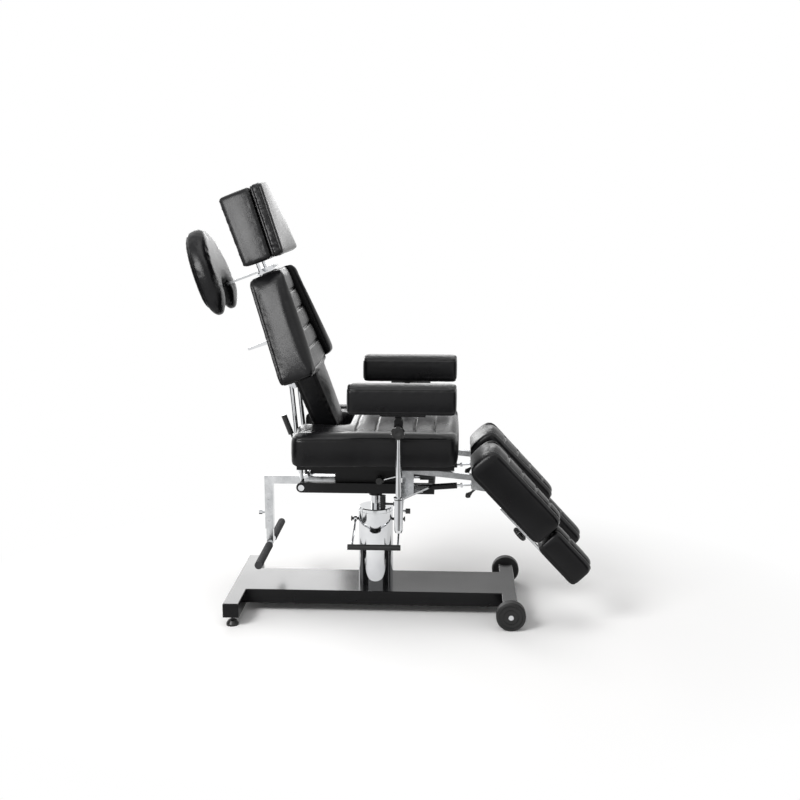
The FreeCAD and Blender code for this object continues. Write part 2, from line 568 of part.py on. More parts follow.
def make_seat_frame():
    """Rails with round rear ends, front cross member, housing with the grip bar's socket, board."""
    rail_top = "rail_bottom + rail_high"
    pieces = []
    holes = []
    for sign in SIDES.values():
        low = "%s * rail_y - rail_wide / 2" % sign
        high = "%s * rail_y + rail_wide / 2" % sign
        pieces.append(plate("Rail", "xz", [("-back_x", "rail_bottom"), ("rail_front", "rail_bottom"),
                                           ("rail_front", rail_top), ("-back_x", rail_top)], low, high))
        pieces.append(rod("RailEnd", "rail_high / 2", "y", low, high, ("-back_x", "back_z")))
        holes.append(rod("ShaftHole", "shaft_radius + fit_gap", "y", low + " - overrun",
                         high + " + overrun", ("-back_x", "back_z")))
    inside = ("rail_wide / 2 - rail_y", "rail_y - rail_wide / 2")
    pieces.append(block("CrossMember", ("rail_front - cross_wide", "rail_front"), inside,
                        ("rail_bottom", rail_top)))
    pieces.append(block("Housing", ("-housing_back", "housing_front"), inside,
                        ("rail_bottom", "board_bottom")))
    pieces.append(plate("Board", "xy", [
        ("-board_back", "-board_rear_half"), ("board_front", "-board_front_half"),
        ("board_front", "board_front_half"), ("-board_back", "board_rear_half"),
        ("-board_back", "notch_half"), ("-notch_x", "notch_half"), ("-notch_x", "-notch_half"),
        ("-board_back", "-notch_half")], "board_bottom", "board_bottom + board_thick"))
    reach = "tube_half + slide_gap"
    holes.append(block("TubeSocket", ("-housing_back - overrun", "tube_front + overrun"),
                       ("0 - (%s)" % reach, reach), ("tube_z - (%s)" % reach, "tube_z + (%s)" % reach)))
    holes.append(rod("LeverHole", "lever_pivot + fit_gap", "y", "rail_wide / 2 - rail_y - overrun",
                     "rail_wide - rail_y", ("lever_x", "lever_z")))
    node(cut("SeatFrame", fuse("FrameSolid", *pieces), *holes), "seat_frame")
    bore = "spigot_radius + fit_gap"
    low = "piston_top + slide_gap"
    socket = lathe("Socket", [(bore, low), ("socket_neck", low), ("socket_neck", low + " + socket_lip"),
                              ("socket_flange", "rail_bottom - socket_thick"),
                              ("socket_flange", "rail_bottom"), (bore, "rail_bottom")])
    node(socket, "swivel_socket")


def make_seat_cushion():
    """A long cushion with side rolls, a channelled centre and a notch for the back's waist."""
    base = sheet.board_bottom + sheet.board_thick
    top = base + sheet.seat_high
    seams = [sheet.seat_seam_a + sheet.seat_seam_pitch * count
             for count in range(SIZES["seat_seam_count"])]
    sections = []
    for level, inset, sink in stations(-sheet.seat_back, sheet.seat_front, sheet.seat_end, seams,
                                       sheet.seat_channel_half, sheet.seat_channel):
        half = eased(level, -sheet.seat_step_x, sheet.seat_step_long - sheet.seat_step_x,
                     sheet.seat_rear_half, sheet.seat_front_half) - inset
        lift = inset * sheet.seat_lift_share
        sections.append(soft_section(along_x, level, -half, half, base + lift, top - inset / 2,
                                     sheet.seat_corner, sheet.seat_crown, sheet.seat_bulge,
                                     sheet.seat_roll, sheet.seat_seam, sink))
    notch = Part.makeBox(sheet.seat_back + sheet.overrun - sheet.notch_x, 2 * sheet.notch_half,
                         sheet.seat_high + 2 * sheet.seat_crown + 2 * sheet.overrun,
                         Vector(-sheet.seat_back - sheet.overrun, -sheet.notch_half,
                                base - sheet.overrun))
    corners = [edge for edge in notch.Edges
               if edge.BoundBox.XMin > -sheet.notch_x - sheet.overrun
               and edge.BoundBox.ZLength > sheet.seat_high]
    notch = notch.makeFillet(sheet.notch_round, corners)
    node(soft("SeatCushion", loft(sections).cut(notch)), "seat_cushion")


def make_leg_brackets():
    """Outrigger plates, the gas springs' rear ears and the leg support bars, one set a side."""
    pieces = []
    holes = []
    plate_low = "plate_top - plate_thick"
    for sign in SIDES.values():
        shape = [("plate_back", "rail_y + rail_wide / 2"), ("plate_front", "rail_y + rail_wide / 2"),
                 ("plate_front", "plate_side"), ("plate_knee_x", "plate_knee_y"),
                 ("arm_x + plate_tip_half", "plate_tip"), ("arm_x - plate_tip_half", "plate_tip")]
        pieces.append(plate("Outrigger", "xy", [(x, "%s * (%s)" % (sign, y)) for x, y in shape],
                            plate_low, "plate_top"))
        holes.append(rod("SleeveHole", "sleeve_radius + fit_gap", "z", plate_low + " - overrun",
                         "plate_top + overrun", ("arm_x", sign + " * arm_y")))
        centre = sign + " * spring_y"
        holes.append(block("SpringSlot", ("spring_back_x - ear_half", "plate_front + overrun"),
                           (centre + " - slot_half", centre + " + slot_half"),
                           (plate_low + " - overrun", "plate_top + overrun")))
        centre_bar = sign + " * bar_y"
        low = centre_bar + " - bar_wide / 2"
        high = centre_bar + " + bar_wide / 2"
        pieces.append(block("BarPost", ("bar_back", "bar_back + post_long"), (low, high),
                            ("plate_top", "bar_back_z")))
        pieces.append(plate("SupportBar", "xz", [
            ("bar_back", "bar_back_z - bar_high / 2"), ("leg_x", "leg_z - bar_high / 2"),
            ("leg_x", "leg_z + bar_high / 2"), ("bar_back", "bar_back_z + bar_high / 2")], low, high))
        pieces.append(rod("BarEnd", "bar_high / 2", "y", low, high, ("leg_x", "leg_z")))
        holes.append(rod("LegHole", "leg_pin + fit_gap", "y", low + " - overrun", high + " + overrun",
                         ("leg_x", "leg_z")))
    solid = cut("BracketSolid", fuse("BracketPieces", *pieces), *holes)
    ears = []
    for sign in SIDES.values():
        centre = sign + " * spring_y"
        for edge, other in (("-slot_half", "-slot_half - ear_thick"),
                            ("slot_half", "slot_half + ear_thick")):
            low, high = (other, edge) if edge.startswith("-") else (edge, other)
            ears.append(block("Ear", ("spring_back_x - ear_half", "spring_back_x + ear_half"),
                              (centre + " + (%s)" % low, centre + " + (%s)" % high),
                              ("spring_back_z - ear_drop", "plate_top")))
        ears.append(rod("EarPin", "pin_radius", "y", centre + " - slot_half", centre + " + slot_half",
                        ("spring_back_x", "spring_back_z")))
    brake_ear = block("BrakeEar", ("brake_x - brake_hub", "brake_x + brake_hub"),
                      ("-brake_y + brake_thick / 2 + slide_gap", "-brake_y + brake_thick"),
                      ("brake_z - brake_hub", plate_low))
    brake_pin = rod("BrakePin", "pin_radius", "y", "-brake_y - brake_thick / 2",
                    "-brake_y + brake_thick", ("brake_x", "brake_z"))
    node(fuse("LegBrackets", solid, brake_ear, brake_pin, *ears), "leg_brackets")


def make_arms():
    sleeves = []
    for sign in SIDES.values():
        bore = "arm_post_radius + fit_gap"
        sleeve = lathe("Sleeve", [
            (bore, "sleeve_bottom"), ("sleeve_taper_radius", "sleeve_bottom"),
            ("sleeve_radius", "sleeve_bottom + sleeve_taper"),
            ("sleeve_radius", "sleeve_top - collar_high"),
            ("collar_radius", "sleeve_top - collar_high"), ("collar_radius", "sleeve_top"),
            (bore, "sleeve_top")])
        sleeves.append(put(sleeve, ("arm_x", sign + " * arm_y", "0")))
    node(fuse("ArmSleeves", *sleeves), "arm_sleeves")
    for side, sign in SIDES.items():
        axis = ("arm_x", sign + " * arm_y")
        y = axis[1]
        post = rod("Post", "arm_post_radius", "z", "arm_post_foot", "arm_post_top", axis)
        node(single("ArmPost" + side, post), "arm_post_" + side)
        cheek_low = "lug_half + slide_gap"
        collar = rod("ClampCollar", "clamp_radius", "z", "clamp_bottom", "clamp_top", axis)
        cheeks = []
        for cheek in (NEAR, FAR):
            ends = (cheek_low, cheek_low + " + cheek_thick")
            low, high = (y + " + (%s)" % ends[0], y + " + (%s)" % ends[1])
            if cheek == NEAR:
                low, high = (y + " - (%s)" % ends[1], y + " - (%s)" % ends[0])
            cheeks.append(rod("Cheek", "cheek_radius", "y", low, high, ("arm_x", "tilt_z")))
            cheeks.append(block("CheekFoot", ("arm_x - cheek_radius", "arm_x + cheek_radius"),
                                (low, high), ("clamp_bottom + cheek_radius", "tilt_z")))
        pin = rod("TiltPin", "pin_radius", "y", y + " - lug_half - slide_gap - cheek_thick",
                  y + " + lug_half + slide_gap + cheek_thick", ("arm_x", "tilt_z"))
        post_hole = rod("PostHole", "arm_post_radius + fit_gap", "z", "clamp_bottom - overrun",
                        "arm_post_top + slide_gap", axis)
        screw_hole = rod("ScrewHole", "knob_screw + fit_gap", "y",
                         y + (" - clamp_radius - overrun" if sign == NEAR else ""),
                         y + (" + clamp_radius + overrun" if sign == FAR else ""),
                         ("arm_x", "arm_knob_z"))
        yoke = cut("Yoke" + side, fuse("YokeSolid", collar, *cheeks, pin), post_hole, screw_hole)
        node(yoke, "arm_clamp_" + side)
        screw = "clamp_radius + cheek_thick + knob_gap - arm_post_radius - slide_gap"
        knob = star_knob("ArmKnob" + side, "knob_radius", "knob_thick", screw)
        node(knob, "arm_knob_" + side, axis=(1, 0, 0), angle="-90 * " + sign,
             at=("arm_x", "%s * (arm_y + clamp_radius + cheek_thick + knob_gap)" % sign, "arm_knob_z"))
        lug = [rod("TiltLug", "lug_radius", "y", y + " - lug_half", y + " + lug_half", ("arm_x", "tilt_z")),
               block("TiltRiser", ("arm_x - lug_radius", "arm_x + lug_radius"),
                     (y + " - lug_half", y + " + lug_half"), ("tilt_z", "arm_bottom - bracket_thick")),
               block("ArmPlate", ("bracket_back", "bracket_front"), (y + " - bracket_half",
                     y + " + bracket_half"), ("arm_bottom - bracket_thick", "arm_bottom"))]
        hole = rod("TiltHole", "pin_radius + fit_gap", "y", y + " - lug_half - overrun",
                   y + " + lug_half + overrun", ("arm_x", "tilt_z"))
        node(cut("Bracket" + side, fuse("BracketPieces", *lug), hole), "arm_bracket_" + side)
        centre = float(sign) * sheet.arm_y
        sections = []
        for level, inset, sink in stations(-sheet.arm_back, sheet.arm_front, sheet.arm_end):
            sections.append(soft_section(along_x, level, centre - sheet.arm_half + inset,
                                         centre + sheet.arm_half - inset, sheet.arm_bottom + inset / 2,
                                         sheet.arm_bottom + sheet.arm_high - inset / 2,
                                         sheet.arm_corner, sheet.arm_crown, sheet.arm_bulge, sink=sink))
        node(soft("ArmCushion" + side, loft(sections)), "arm_cushion_" + side)


def make_levers():
    y = "-lever_y"
    hub = rod("LeverHub", "lever_hub", "y", y + " - lever_hub", y + " + lever_hub", ("lever_x", "lever_z"))
    pivot = rod("LeverPivot", "lever_pivot", "y", y, "rail_wide - rail_y - slide_gap",
                ("lever_x", "lever_z"))
    boss = cone("LeverCone", "lever_hub", "lever_cone_end", "x", "lever_x", "lever_x + lever_cone_x",
                (y, "lever_z"))
    bend = ("lever_bend_x", "lever_bend_z")
    first = strut("LeverRod", "lever_rod", ("lever_x", "lever_z"), bend, y)
    second = strut("LeverRun", "lever_rod", bend, ("lever_grip_x", "lever_bend_z"), y)
    beads = []
    for count in range(SIZES["lever_knurl_count"]):
        low = "lever_bend_x + (lever_grip_x - lever_bend_x) * %d / lever_knurl_count" % count
        beads.append(rod("Bead", "lever_knurl", "x", low, low + " + lever_knurl", (y, "lever_bend_z")))
    grip = rod("LeverGrip", "lever_grip", "x", "lever_grip_x", "lever_end_x", (y, "lever_bend_z"))
    node(fuse("TiltLever", hub, pivot, boss, first, second, *beads, grip), "tilt_lever")
    hub = rod("BrakeHub", "brake_hub", "y", "-brake_y - brake_thick / 2", "-brake_y + brake_thick / 2",
              ("brake_x", "brake_z"))
    bar = strut("BrakeRod", "brake_rod", ("brake_x", "brake_z"), ("brake_low_x", "brake_low_z"),
                "-brake_y")
    side = rod("BrakeSide", "brake_rod", "x", "brake_low_x", "brake_low_x + brake_knob_x",
               ("-brake_y", "brake_low_z"))
    knob = rod("BrakeKnob", "brake_knob", "x", "brake_low_x + brake_knob_x",
               "brake_low_x + brake_knob_x + brake_knob_long", ("-brake_y", "brake_low_z"))
    hole = rod("BrakeHole", "pin_radius + fit_gap", "y", "-brake_y - brake_thick",
               "-brake_y + brake_thick", ("brake_x", "brake_z"))
    node(cut("BrakeLever", fuse("BrakeSolid", hub, bar, side, knob), hole), "brake_lever")


# Back frame. Its own X is the front normal and its own Z runs up the incline.
def make_lock_bracket():
    """The plate on the back's rear with the two ears and the pin of the head lock lever."""
    gap = "lock_wide / 2 + slide_gap"
    plate_low = "plate_rear + lock_hub + slide_gap"
    pieces = [block("LockPlate", (plate_low, "panel_rear"), ("-back_plate_half", "back_plate_half"),
                    ("lock_z - back_plate_half", "lock_z + back_plate_half"))]
    for low, high in (("0 - (%s) - lock_ear" % gap, "0 - (%s)" % gap), (gap, gap + " + lock_ear")):
        pieces.append(block("LockEar", ("plate_rear - lock_hub", plate_low), (low, high),
                            ("lock_z - lock_hub", "lock_z + lock_hub")))
    pieces.append(rod("LockPin", "pin_radius", "y", "0 - (%s) - lock_ear" % gap, gap + " + lock_ear",
                      ("plate_rear", "lock_z")))
    return fuse("LockBracket", *pieces)


def make_back_uprights():
    """Stub shafts in the rails, two tubes, rear plates and the cross bar of the recline lever."""
    pieces = []
    for sign in SIDES.values():
        outer = "rail_y + rail_wide / 2 + slide_gap"
        ends = ("strut_y - strut_radius - shaft_in", outer)
        heads = (outer, outer + " + shaft_head_thick")
        if sign == NEAR:
            ends = ("0 - (%s)" % outer, "strut_radius + shaft_in - strut_y")
            heads = ("0 - (%s) - shaft_head_thick" % outer, "0 - (%s)" % outer)
        y = sign + " * strut_y"
        pieces += [
            rod("Shaft", "shaft_radius", "y", ends[0], ends[1], ("0", "0")),
            rod("ShaftHead", "shaft_head", "y", heads[0], heads[1], ("0", "0")),
            strut("Upright", "strut_radius", ("0", "0"), ("strut_front", "strut_top"), y),
            block("TriggerEar", ("0", "trigger_front + trigger_bar"),
                  (y + " - strut_radius / 2", y + " + strut_radius / 2"),
                  ("trigger_up - trigger_bar", "trigger_up + trigger_bar")),
            block("BackPlate", ("plate_rear", "panel_rear"),
                  (y + " - back_plate_half", y + " + back_plate_half"),
                  ("back_plate_low", "back_plate_high")),
            block("PlateFoot", ("strut_front - strut_radius", "plate_rear"),
                  (y + " - strut_radius / 2", y + " + strut_radius / 2"),
                  ("strut_top - strut_radius", "back_plate_high - strut_radius"))]
    pieces.append(rod("TriggerBar", "trigger_bar", "y", "-strut_y", "strut_y",
                      ("trigger_front", "trigger_up")))
    pieces.append(make_lock_bracket())
    node(fuse("BackUprights", *pieces), "back_uprights", "back")


def make_recline_lever():
    y = "-trigger_y"
    axis = ("trigger_front", "trigger_up")
    hub = rod("TriggerHub", "trigger_hub", "y", y + " - trigger_half", y + " + trigger_half", axis)
    arm = rod("TriggerRod", "trigger_rod", "z", "trigger_up", "grip_low", ("trigger_front", y))
    grip = rod("TriggerGrip", "grip_radius", "z", "grip_low", "grip_high", ("trigger_front", y))
    hole = rod("TriggerHole", "trigger_bar + fit_gap", "y", y + " - trigger_half - overrun",
               y + " + trigger_half + overrun", axis)
    node(cut("ReclineLever", fuse("TriggerSolid", hub, arm, grip), hole), "recline_lever", "back")


def make_back_cushions():
    """Centre panel with its waist, and the two bolsters beside it."""
    seams = [sheet.panel_seam + sheet.panel_pitch * count
             for count in range(SIZES["panel_seam_count"])]
    sections = []
    waist = stations(sheet.waist_low, sheet.panel_low, sheet.waist_end)[:END_STEPS + 1]
    waist.append((sheet.panel_low - sheet.panel_round, 0, 0))
    for level, inset, sink in waist:
        half = between(level, sheet.waist_low, sheet.panel_low, sheet.waist_low_half,
                       sheet.waist_high_half) - inset
        sections.append(soft_section(along_z, level, -half, half, sheet.panel_rear + inset / 2,
                                     sheet.panel_front - inset, sheet.panel_corner,
                                     sheet.panel_crown, -sheet.panel_draw))
    lower = loft(sections)
    sections = []
    for level, inset, sink in stations(sheet.panel_low - sheet.panel_round, sheet.panel_top,
                                       sheet.panel_round, seams[1:], sheet.panel_channel_half,
                                       sheet.panel_channel):
        half = between(level, sheet.panel_low, sheet.panel_top, sheet.panel_low_half,
                       sheet.panel_top_half) - inset
        sections.append(soft_section(along_z, level, -half, half, sheet.panel_rear,
                                     sheet.panel_front - inset / 2 - sink, sheet.panel_corner,
                                     sheet.panel_crown, -sheet.panel_draw))
    panel = lower.fuse(loft(sections))
    for sign in SIDES.values():
        panel = panel.cut(Part.makeCylinder(sheet.guide_radius + sheet.soft_gap,
                                            sheet.panel_top + sheet.overrun - sheet.guide_foot,
                                            Vector(sheet.head_post_x, float(sign) * sheet.head_post_y,
                                                   sheet.guide_foot)))
    node(soft("BackCushion", panel), "back_cushion", "back")
    solids = []
    for sign in SIDES.values():
        sections = []
        for level, inset, sink in stations(sheet.bolster_low, sheet.bolster_top, sheet.bolster_round):
            inner = between(level, sheet.panel_low, sheet.panel_top, sheet.panel_low_half,
                            sheet.panel_top_half) - sheet.bolster_seat
            outer = between(level, sheet.bolster_low, sheet.bolster_top, sheet.bolster_low_half,
                            sheet.bolster_top_half) - inset - sheet.bolster_bulge
            low, high = sorted((float(sign) * inner, float(sign) * outer))
            sections.append(soft_section(along_z, level, low, high, sheet.bolster_rear + inset / 2,
                                         sheet.bolster_front - inset, sheet.bolster_corner - inset / 2,
                                         sheet.bolster_crown, -sheet.panel_draw))
        solids.append(loft(sections))
    node(soft("BackBolsters", Part.makeCompound(solids)), "back_bolsters", "back")


def make_head():
    """Guides in the back's top, posts, rear block, front pad and the lever that locks the posts."""
    bridge_low = "panel_top + bridge_gap"
    socket_low = bridge_low + " + bridge_thick"
    pieces = []
    bores = []
    posts = []
    for sign in SIDES.values():
        y = sign + " * head_post_y"
        axis = ("head_post_x", y)
        pieces.append(rod("Guide", "guide_radius", "z", "guide_foot", bridge_low, axis))
        pieces.append(rod("GuideCollar", "guide_collar", "z", bridge_low, socket_low + " + bridge_thick",
                          axis))
        bores.append(rod("GuideBore", "head_post_radius + fit_gap", "z", "guide_foot - overrun",
                         socket_low + " + bridge_thick + overrun", axis))
        posts.append(rod("HeadPost", "head_post_radius", "z", "head_post_foot",
                         "head_low + head_post_deep", axis))
    pieces.append(block("Bridge", ("bridge_rear", "bridge_front"),
                        ("-head_post_y - guide_collar", "head_post_y + guide_collar"),
                        (bridge_low, socket_low)))
    pieces.append(block("BarSocket", ("bridge_rear", "bridge_front"), ("-socket_half", "socket_half"),
                        (socket_low, socket_low + " + socket_high")))
    slot_middle = socket_low + " + socket_high / 2"
    gap = "cradle_bar_thick / 2 + slide_gap"
    bores.append(block("BarSlot", ("bridge_rear - overrun", "bridge_front + overrun"),
                       ("-cradle_bar_half - slide_gap", "cradle_bar_half + slide_gap"),
                       (slot_middle + " - (%s)" % gap, slot_middle + " + " + gap)))
    node(cut("HeadGuides", fuse("GuideSolid", *pieces), *bores), "head_guides", "back")
    node(fuse("HeadPosts", *posts), "head_posts", "back")

    sections = []
    for level, inset, sink in stations(sheet.head_low, sheet.head_high, sheet.head_round):
        half = between(level, sheet.head_low, sheet.head_high, sheet.head_low_half,
                       sheet.head_high_half) - inset
        rear = between(level, sheet.head_low, sheet.head_high, sheet.head_low_rear, sheet.head_rear)
        sections.append(soft_section(along_z, level, -half, half, sheet.head_mid,
                                     rear + inset, -sheet.head_corner, -sheet.head_bulge,
                                     sheet.head_bulge))
    head = loft(sections)
    for sign in SIDES.values():
        head = head.cut(Part.makeCylinder(sheet.head_post_radius, sheet.head_post_deep + sheet.overrun,
                                          Vector(sheet.head_post_x, float(sign) * sheet.head_post_y,
                                                 sheet.head_low - sheet.overrun)))
    node(soft("HeadBlock", head), "head_block", "back")
    sections = []
    for level, inset, sink in stations(sheet.head_low, sheet.head_high, sheet.pad_round):
        half = between(level, sheet.head_low, sheet.head_high, sheet.head_low_half,
                       sheet.head_high_half) - inset
        sections.append(soft_section(along_z, level, -half, half, sheet.head_mid + sheet.soft_gap,
                                     sheet.head_front - inset - sheet.pad_crown, sheet.pad_corner,
                                     sheet.pad_crown, sheet.pad_side))
    node(soft("HeadPad", loft(sections)), "head_pad", "back")

    hub = rod("LockHub", "lock_hub", "y", "-lock_wide / 2", "lock_wide / 2", ("plate_rear", "lock_z"))
    tip = rod("LockTip", "lock_tip", "y", "-lock_wide / 2", "lock_wide / 2", ("-lock_back", "lock_z"))
    blade = plate("LockBlade", "xz", [
        ("plate_rear", "lock_z - lock_hub"), ("plate_rear", "lock_z + lock_hub"),
        ("-lock_back", "lock_z + lock_tip"), ("-lock_back", "lock_z - lock_tip")],
                  "-lock_wide / 2", "lock_wide / 2")
    hole = rod("LockHole", "pin_radius + fit_gap", "y", "-lock_wide", "lock_wide", ("plate_rear", "lock_z"))
    node(cut("HeadLock", fuse("LockSolid", hub, tip, blade), hole), "head_lock_lever", "back")


def make_cradle():
    """A flat bar in the socket of the head guides and a horseshoe pad hinged under its arch."""
    middle = "panel_top + bridge_gap + bridge_thick + socket_high / 2"
    thick = ("%s - cradle_bar_thick / 2" % middle, "%s + cradle_bar_thick / 2" % middle)
    eye = rod("BarEye", "cradle_bar_thick / 2 + pin_radius", "y", "-cradle_bar_half + cradle_lug",
              "cradle_bar_half - cradle_lug", ("-cradle_pin_x", middle))
    narrow = block("BarNeck", ("-cradle_pin_x", "-cradle_pin_x + cradle_neck_long"),
                   ("-cradle_bar_half + cradle_lug", "cradle_bar_half - cradle_lug"), thick)
    bar = block("Bar", ("-cradle_pin_x + cradle_neck_long", "cradle_bar_front"),
                ("-cradle_bar_half", "cradle_bar_half"), thick)
    hole = rod("EyeHole", "pin_radius + fit_gap", "y", "-cradle_bar_half", "cradle_bar_half",
               ("-cradle_pin_x", middle))
    node(cut("CradleBar", fuse("BarSolid", eye, narrow, bar), hole), "cradle_bar", "back")

    half = sheet.cradle_half
    arch = sheet.cradle_arch
    tip = (half - arch) / 2
    level = sheet.cradle_low + tip
    rear = -sheet.cradle_rear

    def point(across, up):
        return Vector(rear, across, up)

    ellipse = Part.Ellipse(point(0, sheet.cradle_top), point(half, sheet.cradle_side),
                           point(0, sheet.cradle_side))
    start = ellipse.parameter(point(half, sheet.cradle_side))
    end = ellipse.parameter(point(-half, sheet.cradle_side))
    crown = Part.ArcOfEllipse(ellipse, min(start, end), max(start, end)).toShape()
    if crown.BoundBox.ZMax < sheet.cradle_top - sheet.overrun:
        crown = Part.ArcOfEllipse(ellipse, max(start, end), min(start, end) + 2 * math.pi).toShape()
    edges = [crown,
             line(point(half, sheet.cradle_side), point(half, level)),
             arc(point(half, level), point(half - tip, level - tip), point(arch, level)),
             arc(point(arch, level), point(0, level + arch), point(-arch, level)),
             arc(point(-arch, level), point(tip - half, level - tip), point(-half, level)),
             line(point(-half, level), point(-half, sheet.cradle_side))]
    wire = Part.Wire(Part.sortEdges(edges)[0])
    pad = Part.Face(wire).extrude(Vector(sheet.cradle_rear, 0, 0))
    ends = [edge for edge in pad.Edges if edge.BoundBox.XLength < sheet.overrun]
    pad = pad.makeChamfer(sheet.cradle_round, ends)
    pin_z = number(middle)
    outer = sheet.cradle_bar_half
    lugs = []
    for sign in SIDES.values():
        inner = outer - sheet.cradle_lug + sheet.slide_gap
        low, high = sorted((float(sign) * outer, float(sign) * inner))
        lugs.append(Part.makeBox(2 * sheet.cradle_lug_half, high - low,
                                 level + arch + sheet.overrun - pin_z,
                                 Vector(-sheet.cradle_pin_x - sheet.cradle_lug_half, low, pin_z)))
        lugs.append(Part.makeCylinder(sheet.cradle_lug_half, high - low,
                                      Vector(-sheet.cradle_pin_x, low, pin_z), Vector(0, 1, 0)))
    lugs.append(Part.makeCylinder(sheet.pin_radius, 2 * outer, Vector(-sheet.cradle_pin_x, -outer, pin_z),
                                  Vector(0, 1, 0)))
    node(soft("CradlePad", pad.multiFuse(lugs)), "cradle_pad", "back")


# Leg rests. Their own X runs down the leg and their own Z is the normal of the cushion's face.
def make_legs():
    for side, sign in SIDES.items():
        make_leg_rail(side, sign)
        make_leg_cushion(side, sign)
        make_foot(side, sign)
        make_spring(side, sign)


def make_leg_rail(side, sign):
    """Flat rail with stands, a lug each side of the support bar, hinge pin and clevis pin."""
    y = sign + " * bar_y"
    rail = ("leg_bottom - leg_rail_thick", "leg_bottom")
    pieces = [block("Rail", ("leg_rail_start", "rail_foot"),
                    (y + " - leg_rail_half", y + " + leg_rail_half"), rail)]
    reach = "bar_wide / 2 + lug_gap"
    inner = sign + " * (bar_y - (%s))" % reach
    for start, end in (("0 - (%s) - lug_thick" % reach, "0 - (%s)" % reach),
                       (reach, reach + " + lug_thick")):
        low = y + " + (%s)" % start
        high = y + " + (%s)" % end
        pieces.append(rod("Lug", "leg_lug_round - fit_gap", "y", low, high))
        pieces.append(rod("ClevisEnd", "clevis_round", "y", low, high, ("clevis_along", "-clevis_drop")))
        pieces.append(plate("LugPlate", "xz", [
            ("0", "leg_bottom - soft_gap"), ("-lug_rear", "-leg_lug_round"),
            ("clevis_along - clevis_round", "-clevis_drop"),
            ("clevis_along", "-clevis_drop - clevis_round"),
            ("lug_long", rail[0]), ("lug_long", "leg_bottom - soft_gap")], low, high))
        pieces.append(block("LugTie", ("leg_rail_start", "lug_long"),
                            (y + " - (%s) - lug_thick" % reach, y + " + (%s) + lug_thick" % reach), rail))
    pieces.append(rod("HingePin", "leg_pin", "y", y + " - (%s) - lug_thick" % reach,
                      y + " + (%s) + lug_thick" % reach))
    spring = sign + " * spring_y"
    pin_ends = (spring + " - clevis_half - slide_gap - lug_thick", inner)
    if sign == NEAR:
        pin_ends = (inner, spring + " + clevis_half + slide_gap + lug_thick")
    pieces.append(rod("ClevisPin", "pin_radius", "y", pin_ends[0], pin_ends[1],
                      ("clevis_along", "-clevis_drop")))
    release = sign + " * release_y"
    pieces.append(rod("ReleasePin", "pin_radius", "y", y + " - (%s)" % reach, y + " + (%s)" % reach,
                      ("release_x", "-release_z")))
    hole = rod("ScrewHole", "knob_screw + fit_gap", "z", rail[0] + " - overrun", rail[1] + " + overrun",
               ("leg_knob_x", y))
    node(cut("LegRail" + side, fuse("LegRailSolid", *pieces), hole), "leg_rail_" + side, "leg")
    screw = "slide_thick + slide_gap + slide_gap + leg_rail_thick + knob_gap"
    knob = star_knob("LegKnob" + side, "leg_knob_radius", "leg_knob_thick", screw)
    under = "leg_bottom - leg_rail_thick - slide_gap - slide_thick - slide_gap - knob_gap"
    node(knob, "leg_knob_" + side, "leg", at=("leg_knob_x", y, under),
         axis=(0, 1, 0), angle="leg_angle + 180")
    hub = rod("ReleaseHub", "release_hub", "y", release + " - release_half", release + " + release_half",
              ("release_x", "-release_z"))
    neck = rod("ReleaseNeck", "release_neck", "z", "-release_z - release_drop", "-release_z",
               ("release_x", release))
    drop = lathe("ReleaseDrop", [
        ("0", "release_top"), ("release_neck", "release_top"),
        ("release_knob - release_dome", "release_dome"),
        ("release_knob", "0"), ("release_knob - release_dome", "-release_dome * 2"),
        ("release_neck", "-release_knob"), ("0", "-release_knob")])
    put(drop, ("release_x", release, "-release_z - release_drop"))
    hole = rod("ReleaseHole", "pin_radius + fit_gap", "y", release + " - release_half - overrun",
               release + " + release_half + overrun", ("release_x", "-release_z"))
    node(cut("Release" + side, fuse("ReleaseSolid", hub, neck, drop), hole),
         "release_knob_" + side, "leg")


def make_leg_cushion(side, sign):
    seams = [sheet.leg_seam_a + sheet.leg_seam_pitch * count
             for count in range(SIZES["leg_seam_count"])]
    sections = []
    for level, inset, sink in stations(-sheet.leg_back, sheet.leg_front, sheet.leg_end, seams,
                                       sheet.leg_channel_half, sheet.leg_channel):
        if level > sheet.leg_front - sheet.leg_end:
            inset = inset * sheet.leg_tip / sheet.leg_end
        outer = between(level, -sheet.leg_back, sheet.leg_front, sheet.leg_out_knee,
                        sheet.leg_out_ankle) - inset / 2
        inner = between(level, -sheet.leg_back, sheet.leg_front, sheet.leg_in_knee,
                        sheet.leg_in_ankle) + inset / 2
        low, high = sorted((float(sign) * inner, float(sign) * outer))
        sections.append(soft_section(along_x, level, low, high, sheet.leg_bottom + inset,
                                     sheet.leg_top - inset, sheet.leg_corner, sheet.leg_crown,
                                     sheet.leg_bulge, sheet.leg_roll, sheet.leg_seam, sink))
    room = Part.makeBox(sheet.leg_back + sheet.leg_notch_front, 2 * sheet.leg_notch_half,
                        sheet.leg_notch_top - sheet.leg_bottom + sheet.overrun,
                        Vector(-sheet.leg_back, float(sign) * sheet.bar_y - sheet.leg_notch_half,
                               sheet.leg_bottom - sheet.overrun))
    node(soft("LegCushion" + side, loft(sections).cut(room)), "leg_cushion_" + side, "leg")


